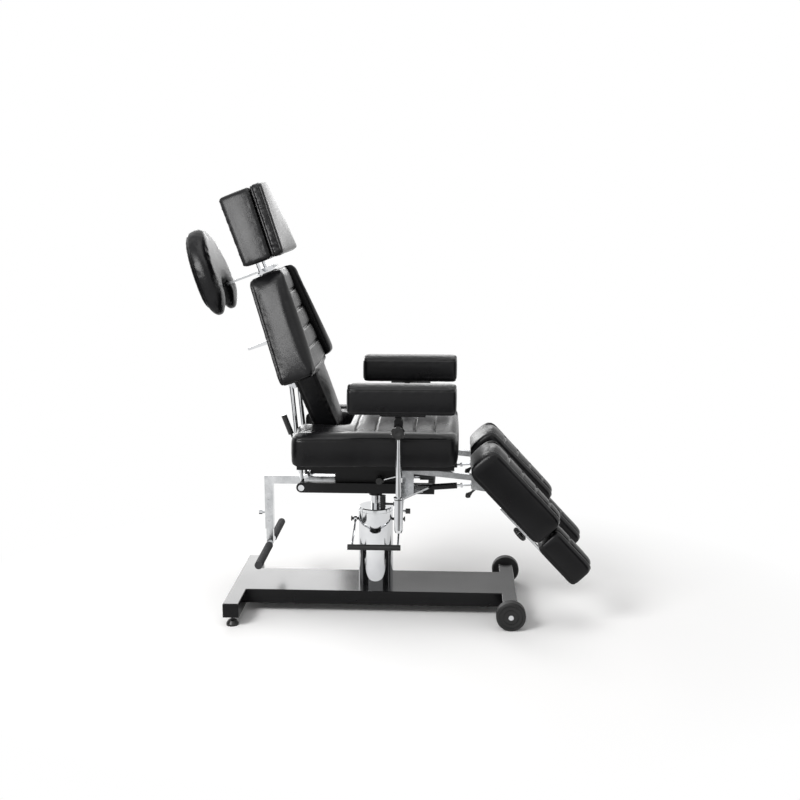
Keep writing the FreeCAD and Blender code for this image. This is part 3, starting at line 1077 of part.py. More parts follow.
def make_foot(side, sign):
    """A slotted bar under the leg's rail with a pad plate, and the foot cushion on it."""
    y = sign + " * bar_y"
    top = "leg_bottom - leg_rail_thick - slide_gap"
    bar = block("SlideBar", ("slide_back", "slide_front"), (y + " - leg_rail_half", y + " + leg_rail_half"),
                (top + " - slide_thick", top))
    pad = block("SlidePad", ("slide_plate_back", "slide_front"),
                (y + " - slide_plate_half", y + " + slide_plate_half"), (top, "-foot_bottom"))
    slot = block("Slot", ("leg_knob_x - slide_travel - slide_slot_end", "leg_knob_x + slide_slot_end"),
                 (y + " - slide_slot", y + " + slide_slot"), (top + " - slide_thick - overrun",
                                                              top + " + overrun"))
    node(cut("FootSlide" + side, fuse("SlideSolid", bar, pad), slot), "foot_slide_" + side, "leg")
    start = sheet.leg_front + sheet.foot_gap
    sections = []
    for level, inset, sink in stations(start, sheet.foot_end, sheet.foot_tip,
                                       (start + sheet.leg_seam_pitch,), sheet.leg_channel_half,
                                       sheet.leg_channel):
        if level < start + sheet.foot_tip:
            inset = inset * sheet.leg_tip / sheet.foot_tip
        low, high = sorted((float(sign) * (sheet.foot_in + inset / 2),
                            float(sign) * (sheet.foot_out - inset / 2)))
        sections.append(soft_section(along_x, level, low, high, -sheet.foot_bottom + inset / 2,
                                     sheet.foot_top - inset / 2, sheet.leg_corner, sheet.leg_crown,
                                     sheet.leg_bulge, sheet.leg_roll, sheet.leg_seam, sink))
    node(soft("FootCushion" + side, loft(sections)), "foot_cushion_" + side, "leg")


def make_spring(side, sign):
    """A gas spring built along its own X axis from its rear pivot to the clevis pin."""
    y = sign + " * spring_y"
    run = "(leg_x + clevis_along * cos(leg_angle) - clevis_drop * sin(leg_angle) - spring_back_x)"
    rise = "(leg_z - clevis_along * sin(leg_angle) - clevis_drop * cos(leg_angle) - spring_back_z)"
    length = "sqrt(%s ^ 2 + %s ^ 2)" % (run, rise)
    slope = "atan(%s / %s)" % (rise, run)
    at = ("spring_back_x", y, "spring_back_z")
    flat = ("0", "0")
    eye = rod("SpringEye", "spring_eye", "y", "-spring_eye_half", "spring_eye_half", flat)
    neck = rod("SpringNeck", "spring_neck", "x", "0", "spring_body_start", flat)
    body = rod("SpringBody", "spring_body", "x", "spring_body_start", "spring_body_end", flat)
    hole = rod("EyeHole", "pin_radius + fit_gap", "y", "-spring_eye_half - overrun",
               "spring_eye_half + overrun", flat)
    bore = rod("RodBore", "spring_rod + fit_gap", "x", "spring_body_start",
               "spring_body_end + overrun", flat)
    node(cut("GasSpring" + side, fuse("SpringSolid", eye, neck, body), hole, bore),
         "gas_spring_" + side, at=at, axis=(0, -1, 0), angle=slope)
    shaft = rod("RodShaft", "spring_rod", "x", "spring_body_end - rod_in", length, flat)
    nut = rod("RodNut", "rod_nut", "x", "rod_nut_at", "rod_nut_at + rod_nut_thick", flat)
    fork = rod("RodEye", "clevis_eye", "y", "-clevis_half", "clevis_half", (length, "0"))
    hole = rod("ClevisHole", "clevis_hole", "y", "-clevis_half - overrun", "clevis_half + overrun",
               (length, "0"))
    node(cut("SpringRod" + side, fuse("RodSolid", shaft, nut, fork), hole), "spring_rod_" + side, at=at,
         axis=(0, -1, 0), angle=slope)


def make_rear_grip():
    """Square tube elbow in the housing, an inner tube in it, a cross tube with foam grips, a pin."""
    half = "tube_half"
    column = ("-tube_back", "2 * tube_half - tube_back")
    wide = ("-tube_half", "tube_half")
    centre = "tube_half - tube_back"
    horizontal = block("TubeRun", ("-tube_back", "tube_front"), wide,
                       ("tube_z - " + half, "tube_z + " + half))
    vertical = block("TubeDrop", column, wide, ("tube_low", "tube_z"))
    reach = "(inner_half + slide_gap)"
    hollow = block("TubeHollow", (centre + " - " + reach, centre + " + " + reach),
                   ("0 - " + reach, reach), ("tube_low - overrun", "tube_z + " + reach))
    holes = [rod("LockHole", "hole_radius", "y", "-tube_half - overrun", "tube_half + overrun",
                 (centre, level)) for level in ("hole_a", "hole_b")]
    pin_hole = rod("PinHole", "rear_pin_radius + fit_gap", "x", "-tube_back - overrun", centre,
                   ("0", "rear_pin_z"))
    boss = rod("LockRing", "ring_radius", "y", "-tube_half - ring_thick", "-tube_half",
               (centre, "ring_z"))
    node(cut("RearTube", fuse("TubeSolid", horizontal, vertical, boss), hollow, pin_hole, *holes),
         "rear_tube")
    inner = block("Inner", (centre + " - inner_half", centre + " + inner_half"),
                  ("-inner_half", "inner_half"), ("cross_z", "inner_top"))
    core = "(inner_half - inner_wall)"
    inner_hollow = block("InnerHollow", (centre + " - " + core, centre + " + " + core),
                         ("0 - " + core, core),
                         ("cross_z + cross_radius + inner_wall", "inner_top + overrun"))
    slot = block("PinSlot", (centre + " - inner_half - overrun", centre),
                 ("-rear_pin_slot", "rear_pin_slot"), ("slot_low", "slot_high"))
    bed = rod("CrossBed", "cross_radius", "y", "-tube_half - overrun", "tube_half + overrun",
              (centre, "cross_z"))
    node(cut("RearSlide", inner, inner_hollow, slot, bed), "rear_slide_tube")
    cross = rod("CrossTube", "cross_radius", "y", "grip_cap - grip_near_out", "grip_far_out - grip_cap",
                (centre, "cross_z"))
    node(single("RearCross", cross), "rear_cross_tube")
    grips = []
    for low, high, bore in (
            ("-grip_near_out", "-grip_near_in", ("grip_cap - grip_near_out", "overrun - grip_near_in")),
            ("grip_far_in", "grip_far_out", ("grip_far_in - overrun", "grip_far_out - grip_cap"))):
        foam = rod("Foam", "grip_foam", "y", low, high, (centre, "cross_z"))
        core = rod("FoamBore", "cross_radius", "y", bore[0], bore[1], (centre, "cross_z"))
        grips.append(cut("Grip", foam, core))
    node(fuse("RearGrips", *grips), "rear_grips")
    tip = centre + " - inner_half + inner_wall / 2"
    shaft = rod("PinShaft", "rear_pin_radius", "x", "-tube_back - rear_pin_out", tip, ("0", "rear_pin_z"))
    head = rod("PinHead", "rear_pin_head", "x", "-tube_back - rear_pin_out",
               "-tube_back - rear_pin_out / 2", ("0", "rear_pin_z"))
    node(fuse("RearPin", shaft, head), "rear_pin")


make_base()
make_feet_and_wheels()
make_pump()
make_bolts()
make_pedal()
make_seat_frame()
make_seat_cushion()
make_leg_brackets()
make_arms()
make_levers()
make_back_uprights()
make_recline_lever()
make_back_cushions()
make_head()
make_cradle()
make_legs()
make_rear_grip()
document.recompute()

faults = [item.Name for item in document.Objects if {"Invalid", "Error"} & set(item.State)]
faults += [item.Label for item in nodes if item.Shape.isNull() or not item.Shape.isValid()]
if faults:
    raise RuntimeError("failed objects: " + ", ".join(faults))
os.makedirs("parts", exist_ok=True)
for item in nodes:
    item.Shape.exportStep("parts/%s.step" % item.Label)
box = Part.makeCompound([item.Shape for item in nodes]).BoundBox
print("nodes", len(nodes))
print("box X %.1f %.1f Y %.1f %.1f Z %.1f %.1f"
      % (box.XMin, box.XMax, box.YMin, box.YMax, box.ZMin, box.ZMax))
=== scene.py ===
import math

import bpy
import numpy as np
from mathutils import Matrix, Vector, noise


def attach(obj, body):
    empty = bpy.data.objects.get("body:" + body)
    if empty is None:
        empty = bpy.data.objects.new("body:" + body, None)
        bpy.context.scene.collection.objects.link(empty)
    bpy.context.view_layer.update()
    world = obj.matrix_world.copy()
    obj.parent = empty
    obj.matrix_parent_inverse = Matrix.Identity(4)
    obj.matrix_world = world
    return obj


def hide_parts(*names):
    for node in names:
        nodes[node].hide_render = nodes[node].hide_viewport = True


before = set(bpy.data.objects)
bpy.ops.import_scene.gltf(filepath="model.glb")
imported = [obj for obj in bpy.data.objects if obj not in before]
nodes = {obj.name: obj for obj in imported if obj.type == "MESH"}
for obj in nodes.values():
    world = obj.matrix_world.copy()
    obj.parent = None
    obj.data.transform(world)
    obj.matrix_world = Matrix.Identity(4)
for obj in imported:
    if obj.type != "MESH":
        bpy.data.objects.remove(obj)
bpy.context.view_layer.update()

scene = bpy.context.scene

# the three drawings the chair is laid out in: the chair itself, its leaning back, its sloping legs
chairShift = -0.0505
backHinge = {"x": -0.3055, "z": 0.465, "lean": math.radians(20.7)}
legHinge = {"x": 0.3055, "z": 0.525, "slope": math.radians(47)}
sides = {"near": -1, "far": 1}


def intoDrawing(drawing, points):
    # points in the room, as rows, to the drawing's own x, y, z
    x, y, z = points[:, 0], points[:, 1], points[:, 2]
    if drawing == "chair":
        return x - chairShift, y, z
    if drawing == "back":
        cosine, sine = math.cos(backHinge["lean"]), math.sin(backHinge["lean"])
        across, up = x - backHinge["x"], z - backHinge["z"]
        return across * cosine + up * sine, y, up * cosine - across * sine
    cosine, sine = math.cos(legHinge["slope"]), math.sin(legHinge["slope"])
    across, up = x - legHinge["x"], z - legHinge["z"]
    return across * cosine - up * sine, y, across * sine + up * cosine


def deselectAll():
    if bpy.context.mode != "OBJECT":
        bpy.ops.object.mode_set(mode="OBJECT")
    bpy.ops.object.select_all(action="DESELECT")


def pick(piece):
    deselectAll()
    piece.select_set(True)
    bpy.context.view_layer.objects.active = piece


def applyModifier(piece, kind, **settings):
    pick(piece)
    modifier = piece.modifiers.new(kind.lower(), kind)
    for key, value in settings.items():
        setattr(modifier, key, value)
    bpy.ops.object.modifier_apply(modifier=modifier.name)


def pointsOf(mesh, what="co"):
    found = np.empty(len(mesh.vertices) * 3)
    if what == "co":
        mesh.vertices.foreach_get("co", found)
    else:
        mesh.vertex_normals.foreach_get("vector", found)
    return found.reshape(-1, 3)


def setPoints(mesh, points):
    mesh.vertices.foreach_set("co", points.ravel())
    mesh.update()


# camera at the photograph's angle
cameraPlace = {"at": (0.2396, -4.0, 1.5122), "pitch": 0.1854, "yaw": 0.0504, "lens": 51.3}
bpy.ops.object.camera_add(
    location=cameraPlace["at"],
    rotation=(math.pi / 2 - cameraPlace["pitch"], 0, cameraPlace["yaw"]))
scene.camera = bpy.context.object
scene.camera.data.lens = cameraPlace["lens"]
scene.camera.data.sensor_width = 36
scene.view_settings.view_transform = "Standard"
print("stage: camera")


# materials

def newMaterial(name):
    material = bpy.data.materials.new(name)
    material.use_nodes = True
    return material, material.node_tree, material.node_tree.nodes["Principled BSDF"]


def addNode(tree, kind, **inputs):
    made = tree.nodes.new(kind)
    for key, value in inputs.items():
        made.inputs[key].default_value = value
    return made


def surfacePlace(tree, stretch=(1, 1, 1)):
    place = tree.nodes.new("ShaderNodeTexCoord")
    mapping = addNode(tree, "ShaderNodeMapping", Scale=stretch)
    tree.links.new(place.outputs["Object"], mapping.inputs["Vector"])
    return mapping.outputs["Vector"]


def noiseTexture(tree, place, scale, detail=3.0, roughness=0.55):
    texture = addNode(tree, "ShaderNodeTexNoise", Scale=scale, Detail=detail, Roughness=roughness)
    tree.links.new(place, texture.inputs["Vector"])
    return texture.outputs["Fac"]


def rangeOf(tree, value, low, high, fromLow=0.3, fromHigh=0.7):
    made = addNode(tree, "ShaderNodeMapRange", **{
        "From Min": fromLow, "From Max": fromHigh, "To Min": low, "To Max": high})
    tree.links.new(value, made.inputs["Value"])
    return made.outputs["Result"]


def rampOf(tree, value, dark, pale, low=0.3, high=0.7):
    made = tree.nodes.new("ShaderNodeValToRGB")
    made.color_ramp.elements[0].position = low
    made.color_ramp.elements[0].color = (*dark, 1)
    made.color_ramp.elements[1].position = high
    made.color_ramp.elements[1].color = (*pale, 1)
    tree.links.new(value, made.inputs["Fac"])
    return made.outputs["Color"]


def bumpOf(tree, height, distance, strength=1.0, under=None):
    made = addNode(tree, "ShaderNodeBump", Distance=distance, Strength=strength)
    tree.links.new(height, made.inputs["Height"])
    if under:
        tree.links.new(under, made.inputs["Normal"])
    return made.outputs["Normal"]


def attributeOf(tree, name):
    made = tree.nodes.new("ShaderNodeAttribute")
    made.attribute_name = name
    return made.outputs["Fac"]


def mathOf(tree, kind, first, second):
    made = tree.nodes.new("ShaderNodeMath")
    made.operation = kind
    for spot, value in enumerate((first, second)):
        if isinstance(value, (int, float)):
            made.inputs[spot].default_value = value
        else:
            tree.links.new(value, made.inputs[spot])
    return made.outputs["Value"]


def coatOver(tree, mask, under, colour):
    # the colour where the mask is 1, else what lies under it
    mix = tree.nodes.new("ShaderNodeMix")
    mix.data_type = "RGBA"
    mix.inputs["B"].default_value = (*colour, 1)
    tree.links.new(mask, mix.inputs["Factor"])
    tree.links.new(under, mix.inputs["A"])
    return mix.outputs["Result"]


def threadRows(tree, stitch):
    # a row of short stitches on each side of every seam, placed by the distance across and along it
    across = mathOf(tree, "ABSOLUTE", attributeOf(tree, "seamAcross"), 0)
    off = mathOf(tree, "ABSOLUTE", mathOf(tree, "SUBTRACT", across, stitch["away"]), 0)
    row = rangeOf(tree, off, 1, 0, stitch["thick"] * 0.5, stitch["thick"])
    wave = mathOf(tree, "SINE", mathOf(tree, "MULTIPLY", attributeOf(tree, "seamAlong"),
                                     2 * math.pi / stitch["long"]), 0)
    return mathOf(tree, "MULTIPLY", row, rangeOf(tree, wave, 0, 1, *stitch["between"]))


def makeLeather(name, look):
    # vinyl with a fine pebble grain, soft creases, and painted shade that darkens the seam grooves
    material, tree, shader = newMaterial(name)
    place = surfacePlace(tree)
    cells = addNode(tree, "ShaderNodeTexVoronoi", Scale=look["grain"])
    cells.feature = "DISTANCE_TO_EDGE"
    tree.links.new(place, cells.inputs["Vector"])
    creases = noiseTexture(tree, place, look["crease"], 4.0, 0.6)
    patches = noiseTexture(tree, place, look["patch"], 2.0)
    normal = bumpOf(tree, creases, look["creaseDeep"])
    normal = bumpOf(tree, rangeOf(tree, cells.outputs["Distance"], 0, 1, 0, look["pebbleEdge"]),
                    look["grainDeep"], look["grainStrength"], normal)
    tree.links.new(rangeOf(tree, patches, *look["roughness"]), shader.inputs["Roughness"])
    # painted shade: where the sewn attribute marks a seam groove, the colour is darkened to the
    # seam colour
    sewn = attributeOf(tree, "sewn")
    thread = threadRows(tree, look["thread"])
    normal = bumpOf(tree, thread, look["threadHigh"], 1.0, normal)
    tree.links.new(normal, shader.inputs["Normal"])
    colour = rampOf(tree, patches, look["dark"], look["pale"])
    tree.links.new(coatOver(tree, sewn, colour, look["seam"]), shader.inputs["Base Color"])
    shader.inputs["Specular IOR Level"].default_value = look["shine"]
    return material


def makeMetal(name, look):
    material, tree, shader = newMaterial(name)
    place = surfacePlace(tree)
    smears = noiseTexture(tree, place, look["smear"], 3.0)
    ripple = noiseTexture(tree, place, look["ripple"], 2.0)
    tree.links.new(rampOf(tree, smears, look["dark"], look["pale"]), shader.inputs["Base Color"])
    tree.links.new(rangeOf(tree, smears, *look["roughness"]), shader.inputs["Roughness"])
    tree.links.new(bumpOf(tree, ripple, look["rippleDeep"]), shader.inputs["Normal"])
    shader.inputs["Metallic"].default_value = 1.0
    return material


def makeBanded(name, look, coat, axis, spans):
    # a metal piece with grips, caps or rings of black plastic at the given spans of one axis
    material = makeMetal(name, look)
    tree = material.node_tree
    shader = tree.nodes["Principled BSDF"]
    place = tree.nodes.new("ShaderNodeTexCoord")
    apart = tree.nodes.new("ShaderNodeSeparateXYZ")
    tree.links.new(place.outputs["Object"], apart.inputs["Vector"])
    mask = None
    for low, high in spans:
        above = mathOf(tree, "GREATER_THAN", apart.outputs[axis], low)
        below = mathOf(tree, "LESS_THAN", apart.outputs[axis], high)
        inside = mathOf(tree, "MULTIPLY", above, below)
        mask = mathOf(tree, "MAXIMUM", mask, inside) if mask else inside
    metal = shader.inputs["Base Color"].links[0].from_socket
    tree.links.new(coatOver(tree, mask, metal, coat["pale"]), shader.inputs["Base Color"])
    rough = tree.nodes.new("ShaderNodeMix")
    rough.inputs["B"].default_value = coat["roughness"][1]
    tree.links.new(mask, rough.inputs["Factor"])
    tree.links.new(shader.inputs["Roughness"].links[0].from_socket, rough.inputs["A"])
    tree.links.new(rough.outputs["Result"], shader.inputs["Roughness"])
    tree.links.new(mathOf(tree, "SUBTRACT", 1.0, mask), shader.inputs["Metallic"])
    return material


def makeCoating(name, look):
    # paint, plastic and rubber: one coloured body, a fine surface, dust in the broad patches
    material, tree, shader = newMaterial(name)
    place = surfacePlace(tree)
    fine = noiseTexture(tree, place, look["fine"], 3.0)
    patches = noiseTexture(tree, place, look["patch"], 4.0)
    tree.links.new(rampOf(tree, patches, look["dark"], look["pale"]), shader.inputs["Base Color"])
    tree.links.new(rangeOf(tree, patches, *look["roughness"]), shader.inputs["Roughness"])
    tree.links.new(bumpOf(tree, fine, look["fineDeep"]), shader.inputs["Normal"])
    shader.inputs["Specular IOR Level"].default_value = look["shine"]
    return material


leatherLook = {
    "grain": 700.0, "grainDeep": 0.00010, "grainStrength": 0.35, "pebbleEdge": 0.25,
    "crease": 42.0, "creaseDeep": 0.0004,
    "patch": 7.0, "dark": (0.0036, 0.0036, 0.0041), "pale": (0.0056, 0.0056, 0.0063),
    # seam: the colour of the painted shade in the seam grooves
    "seam": (0.0012, 0.0012, 0.0012), "roughness": (0.26, 0.33), "shine": 0.22,
    "thread": {"away": 0.0042, "thick": 0.0006, "long": 0.0055, "between": (-0.7, -0.3)},
    "threadHigh": 0.0004}
chromeLook = {
    "smear": 9.0, "ripple": 25.0, "rippleDeep": 0.00012, "dark": (0.60, 0.61, 0.63),
    "pale": (0.74, 0.75, 0.76), "roughness": (0.04, 0.09)}
platedLook = {
    "smear": 30.0, "ripple": 60.0, "rippleDeep": 0.0003, "dark": (0.50, 0.51, 0.52),
    "pale": (0.70, 0.71, 0.72), "roughness": (0.14, 0.26)}
paintLook = {
    "fine": 420.0, "fineDeep": 0.00006, "patch": 5.0, "dark": (0.0035, 0.0035, 0.004),
    "pale": (0.006, 0.006, 0.0065), "roughness": (0.14, 0.21), "shine": 0.17}
satinLook = dict(paintLook, roughness=(0.36, 0.48), shine=0.25)
plasticLook = {
    "fine": 900.0, "fineDeep": 0.00006, "patch": 20.0, "dark": (0.008, 0.008, 0.008),
    "pale": (0.015, 0.015, 0.015), "roughness": (0.28, 0.4), "shine": 0.45}
rubberLook = {
    "fine": 600.0, "fineDeep": 0.00015, "patch": 12.0, "dark": (0.01, 0.01, 0.01),
    "pale": (0.022, 0.022, 0.022), "roughness": (0.5, 0.65), "shine": 0.35}
foamLook = {
    "fine": 750.0, "fineDeep": 0.0009, "patch": 40.0, "dark": (0.03, 0.03, 0.032),
    "pale": (0.06, 0.06, 0.063), "roughness": (0.75, 0.9), "shine": 0.2}

blackLeather = makeLeather("BlackLeather", leatherLook)
chrome = makeMetal("PolishedChrome", chromeLook)
plated = makeMetal("PlatedSteel", platedLook)
blackPaint = makeCoating("BlackPaint", paintLook)
satinPaint = makeCoating("SatinBlackPaint", satinLook)
blackPlastic = makeCoating("BlackPlastic", plasticLook)
blackRubber = makeCoating("BlackRubber", rubberLook)
greyFoam = makeCoating("GreyFoam", foamLook)

# from where to where along X or Z the black grips, caps and rings of these pieces reach
gripSpans = {
    "tiltLever": [(-0.060, 0.039 + chairShift), (0.163 + chairShift, 0.220)],
    "brakeLever": [(0.117 + chairShift, 0.200)],
    "bolts": [(-0.300, 0.200)],
    "sleeves": [(0.4835, 0.4865)],
}
tiltFinish = makeBanded("TiltLeverFinish", chromeLook, plasticLook, "X", gripSpans["tiltLever"])
brakeFinish = makeBanded("BrakeLeverFinish", chromeLook, plasticLook, "X", gripSpans["brakeLever"])
boltFinish = makeBanded("BoltFinish", chromeLook, plasticLook, "X", gripSpans["bolts"])
sleeveFinish = makeBanded("SleeveFinish", chromeLook, plasticLook, "Z", gripSpans["sleeves"])

finishes = {
    blackPaint: ["base_frame"],
    satinPaint: ["seat_frame", "swivel_socket", "arm_clamp_*", "arm_bracket_*", "gas_spring_*"],
    chrome: ["pump_cover", "piston_rod", "pedal_bail", "arm_post_*", "back_uprights", "head_guides",
             "head_posts", "head_lock_lever", "spring_rod_*", "rear_pin", "rear_cross_tube"],
    tiltFinish: ["tilt_lever"],
    brakeFinish: ["brake_lever"],
    boltFinish: ["axle_bolts"],
    sleeveFinish: ["arm_sleeves"],
    plated: ["leg_brackets", "leg_rail_*", "foot_slide_*", "cradle_bar", "rear_tube",
             "rear_slide_tube"],
    blackPlastic: ["pump_valve", "recline_lever", "levelling_foot_*", "arm_knob_*", "leg_knob_*",
                   "release_knob_*"],
    blackRubber: ["pedal_bar", "wheel_*"],
    greyFoam: ["rear_grips"],
    blackLeather: ["seat_cushion", "back_cushion", "back_bolsters", "head_block", "head_pad",
                   "cradle_pad", "arm_cushion_*", "leg_cushion_*", "foot_cushion_*"],
}
for finish, names in finishes.items():
    for name in names:
        for word in (["near", "far"] if name.endswith("*") else [""]):
            for spot in nodes[name.rstrip("*") + word].material_slots:
                spot.material = finish
print("stage: materials")


# padded pieces: a copy of the frame's solid is remeshed, blown up like a stuffed cover, then sewn

def smoothStep(value, low, high):
    part = np.clip((value - low) / (high - low), 0, 1)
    return part * part * (3 - 2 * part)


def fadeOut(value, low, high):
    return 1 - smoothStep(value, low, high)


# what a cushion has unless it says otherwise: how often it is smoothed before and after it is
# blown up, and how deep its cover ripples beside a seam
usualPad = {"smoothing": 6, "after": 0, "ripple": 0.0004, "shape": None, "gusset": None}
weldWithin = 0.00005
smoothBy = 0.5


def padCopy(pad):
    piece = bpy.data.objects.new(pad["name"], nodes[pad["node"]].data.copy())
    scene.collection.objects.link(piece)
    pick(piece)
    bpy.ops.object.mode_set(mode="EDIT")
    bpy.ops.mesh.select_all(action="SELECT")
    bpy.ops.mesh.remove_doubles(threshold=weldWithin)
    bpy.ops.mesh.normals_make_consistent(inside=False)
    bpy.ops.object.mode_set(mode="OBJECT")
    applyModifier(piece, "REMESH", mode="VOXEL", voxel_size=pad["voxel"])
    applyModifier(piece, "SMOOTH", factor=smoothBy, iterations=pad["smoothing"])
    applyModifier(piece, "DISPLACE", strength=-pad["shrink"], mid_level=0.0)
    piece.data.materials.clear()
    return piece


# the cloth the covers are made of, and how long they are blown up
coverCloth = {
    "quality": 4, "mass": 0.25, "tension_stiffness": 12, "compression_stiffness": 12,
    "shear_stiffness": 4, "bending_stiffness": 0.4, "use_pressure": True,
    "uniform_pressure_force": 4.0, "vertex_group_mass": "held"}
coverFrames = 20
leastMove = 1e-9  # only keeps a length from being zero


def addCloth(piece, held):
    # points are held fully, by half or not at all
    group = piece.vertex_groups.new(name="held")
    for level, low in ((1.0, 0.75), (0.5, 0.25)):
        chosen = np.nonzero((held > low) & (held <= low + 0.5))[0]
        group.add([int(index) for index in chosen], level, "REPLACE")
    cloth = piece.modifiers.new("cover", "CLOTH")
    for key, value in coverCloth.items():
        setattr(cloth.settings, key, value)
    cloth.settings.effector_weights.gravity = 0
    cloth.collision_settings.use_collision = False
    cloth.point_cache.frame_start = 1
    cloth.point_cache.frame_end = coverFrames


def settleCloth(caps):
    # all covers are blown up in the same frames, and no point may move further than its piece's cap
    for step in range(1, coverFrames + 1):
        scene.frame_set(step)
    graph = bpy.context.evaluated_depsgraph_get()
    moved = {piece: pointsOf(piece.evaluated_get(graph).data) for piece in caps}
    for piece, points in moved.items():
        rest = pointsOf(piece.data)
        shift = points - rest
        length = np.maximum(np.linalg.norm(shift, axis=1), leastMove)
        shift *= (caps[piece] * np.tanh(length / caps[piece]) / length)[:, None]
        piece.modifiers.clear()
        piece.vertex_groups.clear()
        setPoints(piece.data, rest + shift)
    scene.frame_set(1)


def seamLevel(seam, x, y, z):
    # how far each point is from the seam's line, and how much of the seam is there
    return np.abs(seam["line"](x, y, z)), seam["on"](x, y, z)


noSeam = 0.05  # further than any stitch lies from its seam

# a seam's cross-section, in widths of its groove: the lips beside it, the gathered strip and the
# strip of painted shade down the groove; a lip is so much of the groove's depth high
seamShape = {"lip": 0.15, "lipAway": 2.4, "lipWidth": 1.6, "gathered": 7, "dark": 0.7}
gatherClose = 70  # gathers to the metre
gussetEdge = 0.004


def sewPad(piece, pad):
    mesh = piece.data
    points = pointsOf(mesh)
    normals = pointsOf(mesh, "normal")
    x, y, z = intoDrawing(pad["drawing"], points)
    shift = np.zeros(len(points))
    sewn = np.zeros(len(points))
    across = np.full(len(points), noSeam)
    wander = np.array([noise.noise(Vector(p) * gatherClose) for p in points])
    for seam in pad["seams"]:
        distance, there = seamLevel(seam, x, y, z)
        width = seam["width"]
        groove = np.exp(-(distance / width) ** 2)
        lips = np.exp(-((distance - seamShape["lipAway"] * width)
                        / (seamShape["lipWidth"] * width)) ** 2)
        shift -= there * seam["deep"] * groove
        shift += there * seamShape["lip"] * seam["deep"] * lips
        near = np.exp(-(distance / (seamShape["gathered"] * width)) ** 2)
        shift += there * near * wander * (pad["ripple"] + seam.get("gather", 0))
        # painted shade: a narrow strip down each seam's groove is marked, as the sewn attribute, to
        # be darkened in the leather
        sewn = np.maximum(sewn, there * np.exp(-(distance / (seamShape["dark"] * width)) ** 2))
        if "stitched" in seam:
            far = distance + noSeam * (1 - there)
            across = np.where(far < np.abs(across), far, across)
    if pad["gusset"]:
        gusset = pad["gusset"]
        # the band between two seams is gathered into small folds that run across it
        folds = np.array([noise.noise(Vector((along, over, 0)))
                          for along, over in zip((y + z) * gusset["close"], x * gusset["over"])])
        band = smoothStep(x, gusset["low"], gusset["low"] + gussetEdge)
        band *= fadeOut(x, gusset["high"] - gussetEdge, gusset["high"])
        shift += band * folds * gusset["deep"]
    setPoints(mesh, points + normals * shift[:, None])
    for name, values in (("sewn", sewn), ("seamAcross", across), ("seamAlong", x + y + z)):
        attribute = mesh.attributes.new(name, "FLOAT", "POINT")
        attribute.data.foreach_set("value", values)


def everywhere(x, y, z):
    return np.ones(len(x))


def between(value, low, high, atLow, atHigh):
    return atLow + (atHigh - atLow) * (value - low) / (high - low)


def crossSeam(at, on, **cut):
    return dict({"line": lambda x, y, z: x - at, "on": on}, **cut)


def upSeam(at, on, **cut):
    return dict({"line": lambda x, y, z: z - at, "on": on}, **cut)


# the cuts that seams share: how deep and how wide the groove is, and how far it gathers the cover
channelCut = {"deep": 0.0045, "width": 0.0035, "stitched": True}
flatCut = {"deep": 0.0014, "width": 0.0026}

# sizes in each cushion's drawing, in metres; a pair is where something starts and ends

seatForm = {
    "half": 0.286, "rearMore": 0.019, "narrows": (-0.130, -0.010), "base": (0.580, 0.585),
    "top": (0.668, 0.680), "firstChannel": -0.054, "pitch": 0.067, "channels": 5,
    "border": 0.088, "panel": (-0.092, -0.086), "borderRear": (-0.262, -0.250),
    "borderFront": (0.283, 0.290), "sides": (-0.03, -0.015), "middle": 0.014, "ends": (0.26, 0.275),
    "upperSeam": 0.675, "lowerSeam": 0.584}


def seatHalf(x):
    # half the seat's width, wider at the rear
    return seatForm["half"] + seatForm["rearMore"] * fadeOut(x, *seatForm["narrows"])


def seatTop(z):
    return smoothStep(z, *seatForm["top"])


def seatPanel(x, y, z):
    return seatTop(z) * fadeOut(np.abs(y) - seatHalf(x), *seatForm["panel"])


def seatBorder(x, y, z):
    return seatTop(z) * smoothStep(x, *seatForm["borderRear"]) \
        * fadeOut(x, *seatForm["borderFront"])


def seatRound(x, y, z):
    return np.maximum(smoothStep(np.abs(y) - seatHalf(x), *seatForm["sides"]),
                      smoothStep(np.abs(x - seatForm["middle"]), *seatForm["ends"]))


seatPad = {
    "node": "seat_cushion", "name": "SeatPad", "body": "seat", "drawing": "chair", "voxel": 0.006,
    "shrink": 0.003, "cap": 0.006, "fill": 0.8,
    "held": lambda x, y, z: fadeOut(z, *seatForm["base"]),
    "seams": [crossSeam(seatForm["firstChannel"] + seatForm["pitch"] * step, seatPanel,
                        deep=0.0032, width=0.0028, stitched=True)
              for step in range(seatForm["channels"])]
    + [{"line": lambda x, y, z: np.abs(y) - seatHalf(x) + seatForm["border"], "on": seatBorder,
        "deep": 0.005, "width": 0.004, "gather": 0.0006, "stitched": True},
       upSeam(seatForm["upperSeam"], seatRound, deep=0.0009, width=0.0022),
       upSeam(seatForm["lowerSeam"], everywhere, deep=0.0008, width=0.0026)],
}

backForm = {
    "low": 0.378, "high": 0.745, "lowHalf": 0.222, "highHalf": 0.116, "board": (0.118, 0.126),
    "front": (0.180, 0.192), "firstChannel": 0.382, "pitch": 0.069, "channels": 5,
    "waistSeam": 0.190, "waist": (0.37, 0.39), "rearSeam": 0.128}


def panelHalf(z):
    return between(z, backForm["low"], backForm["high"], backForm["lowHalf"], backForm["highHalf"])


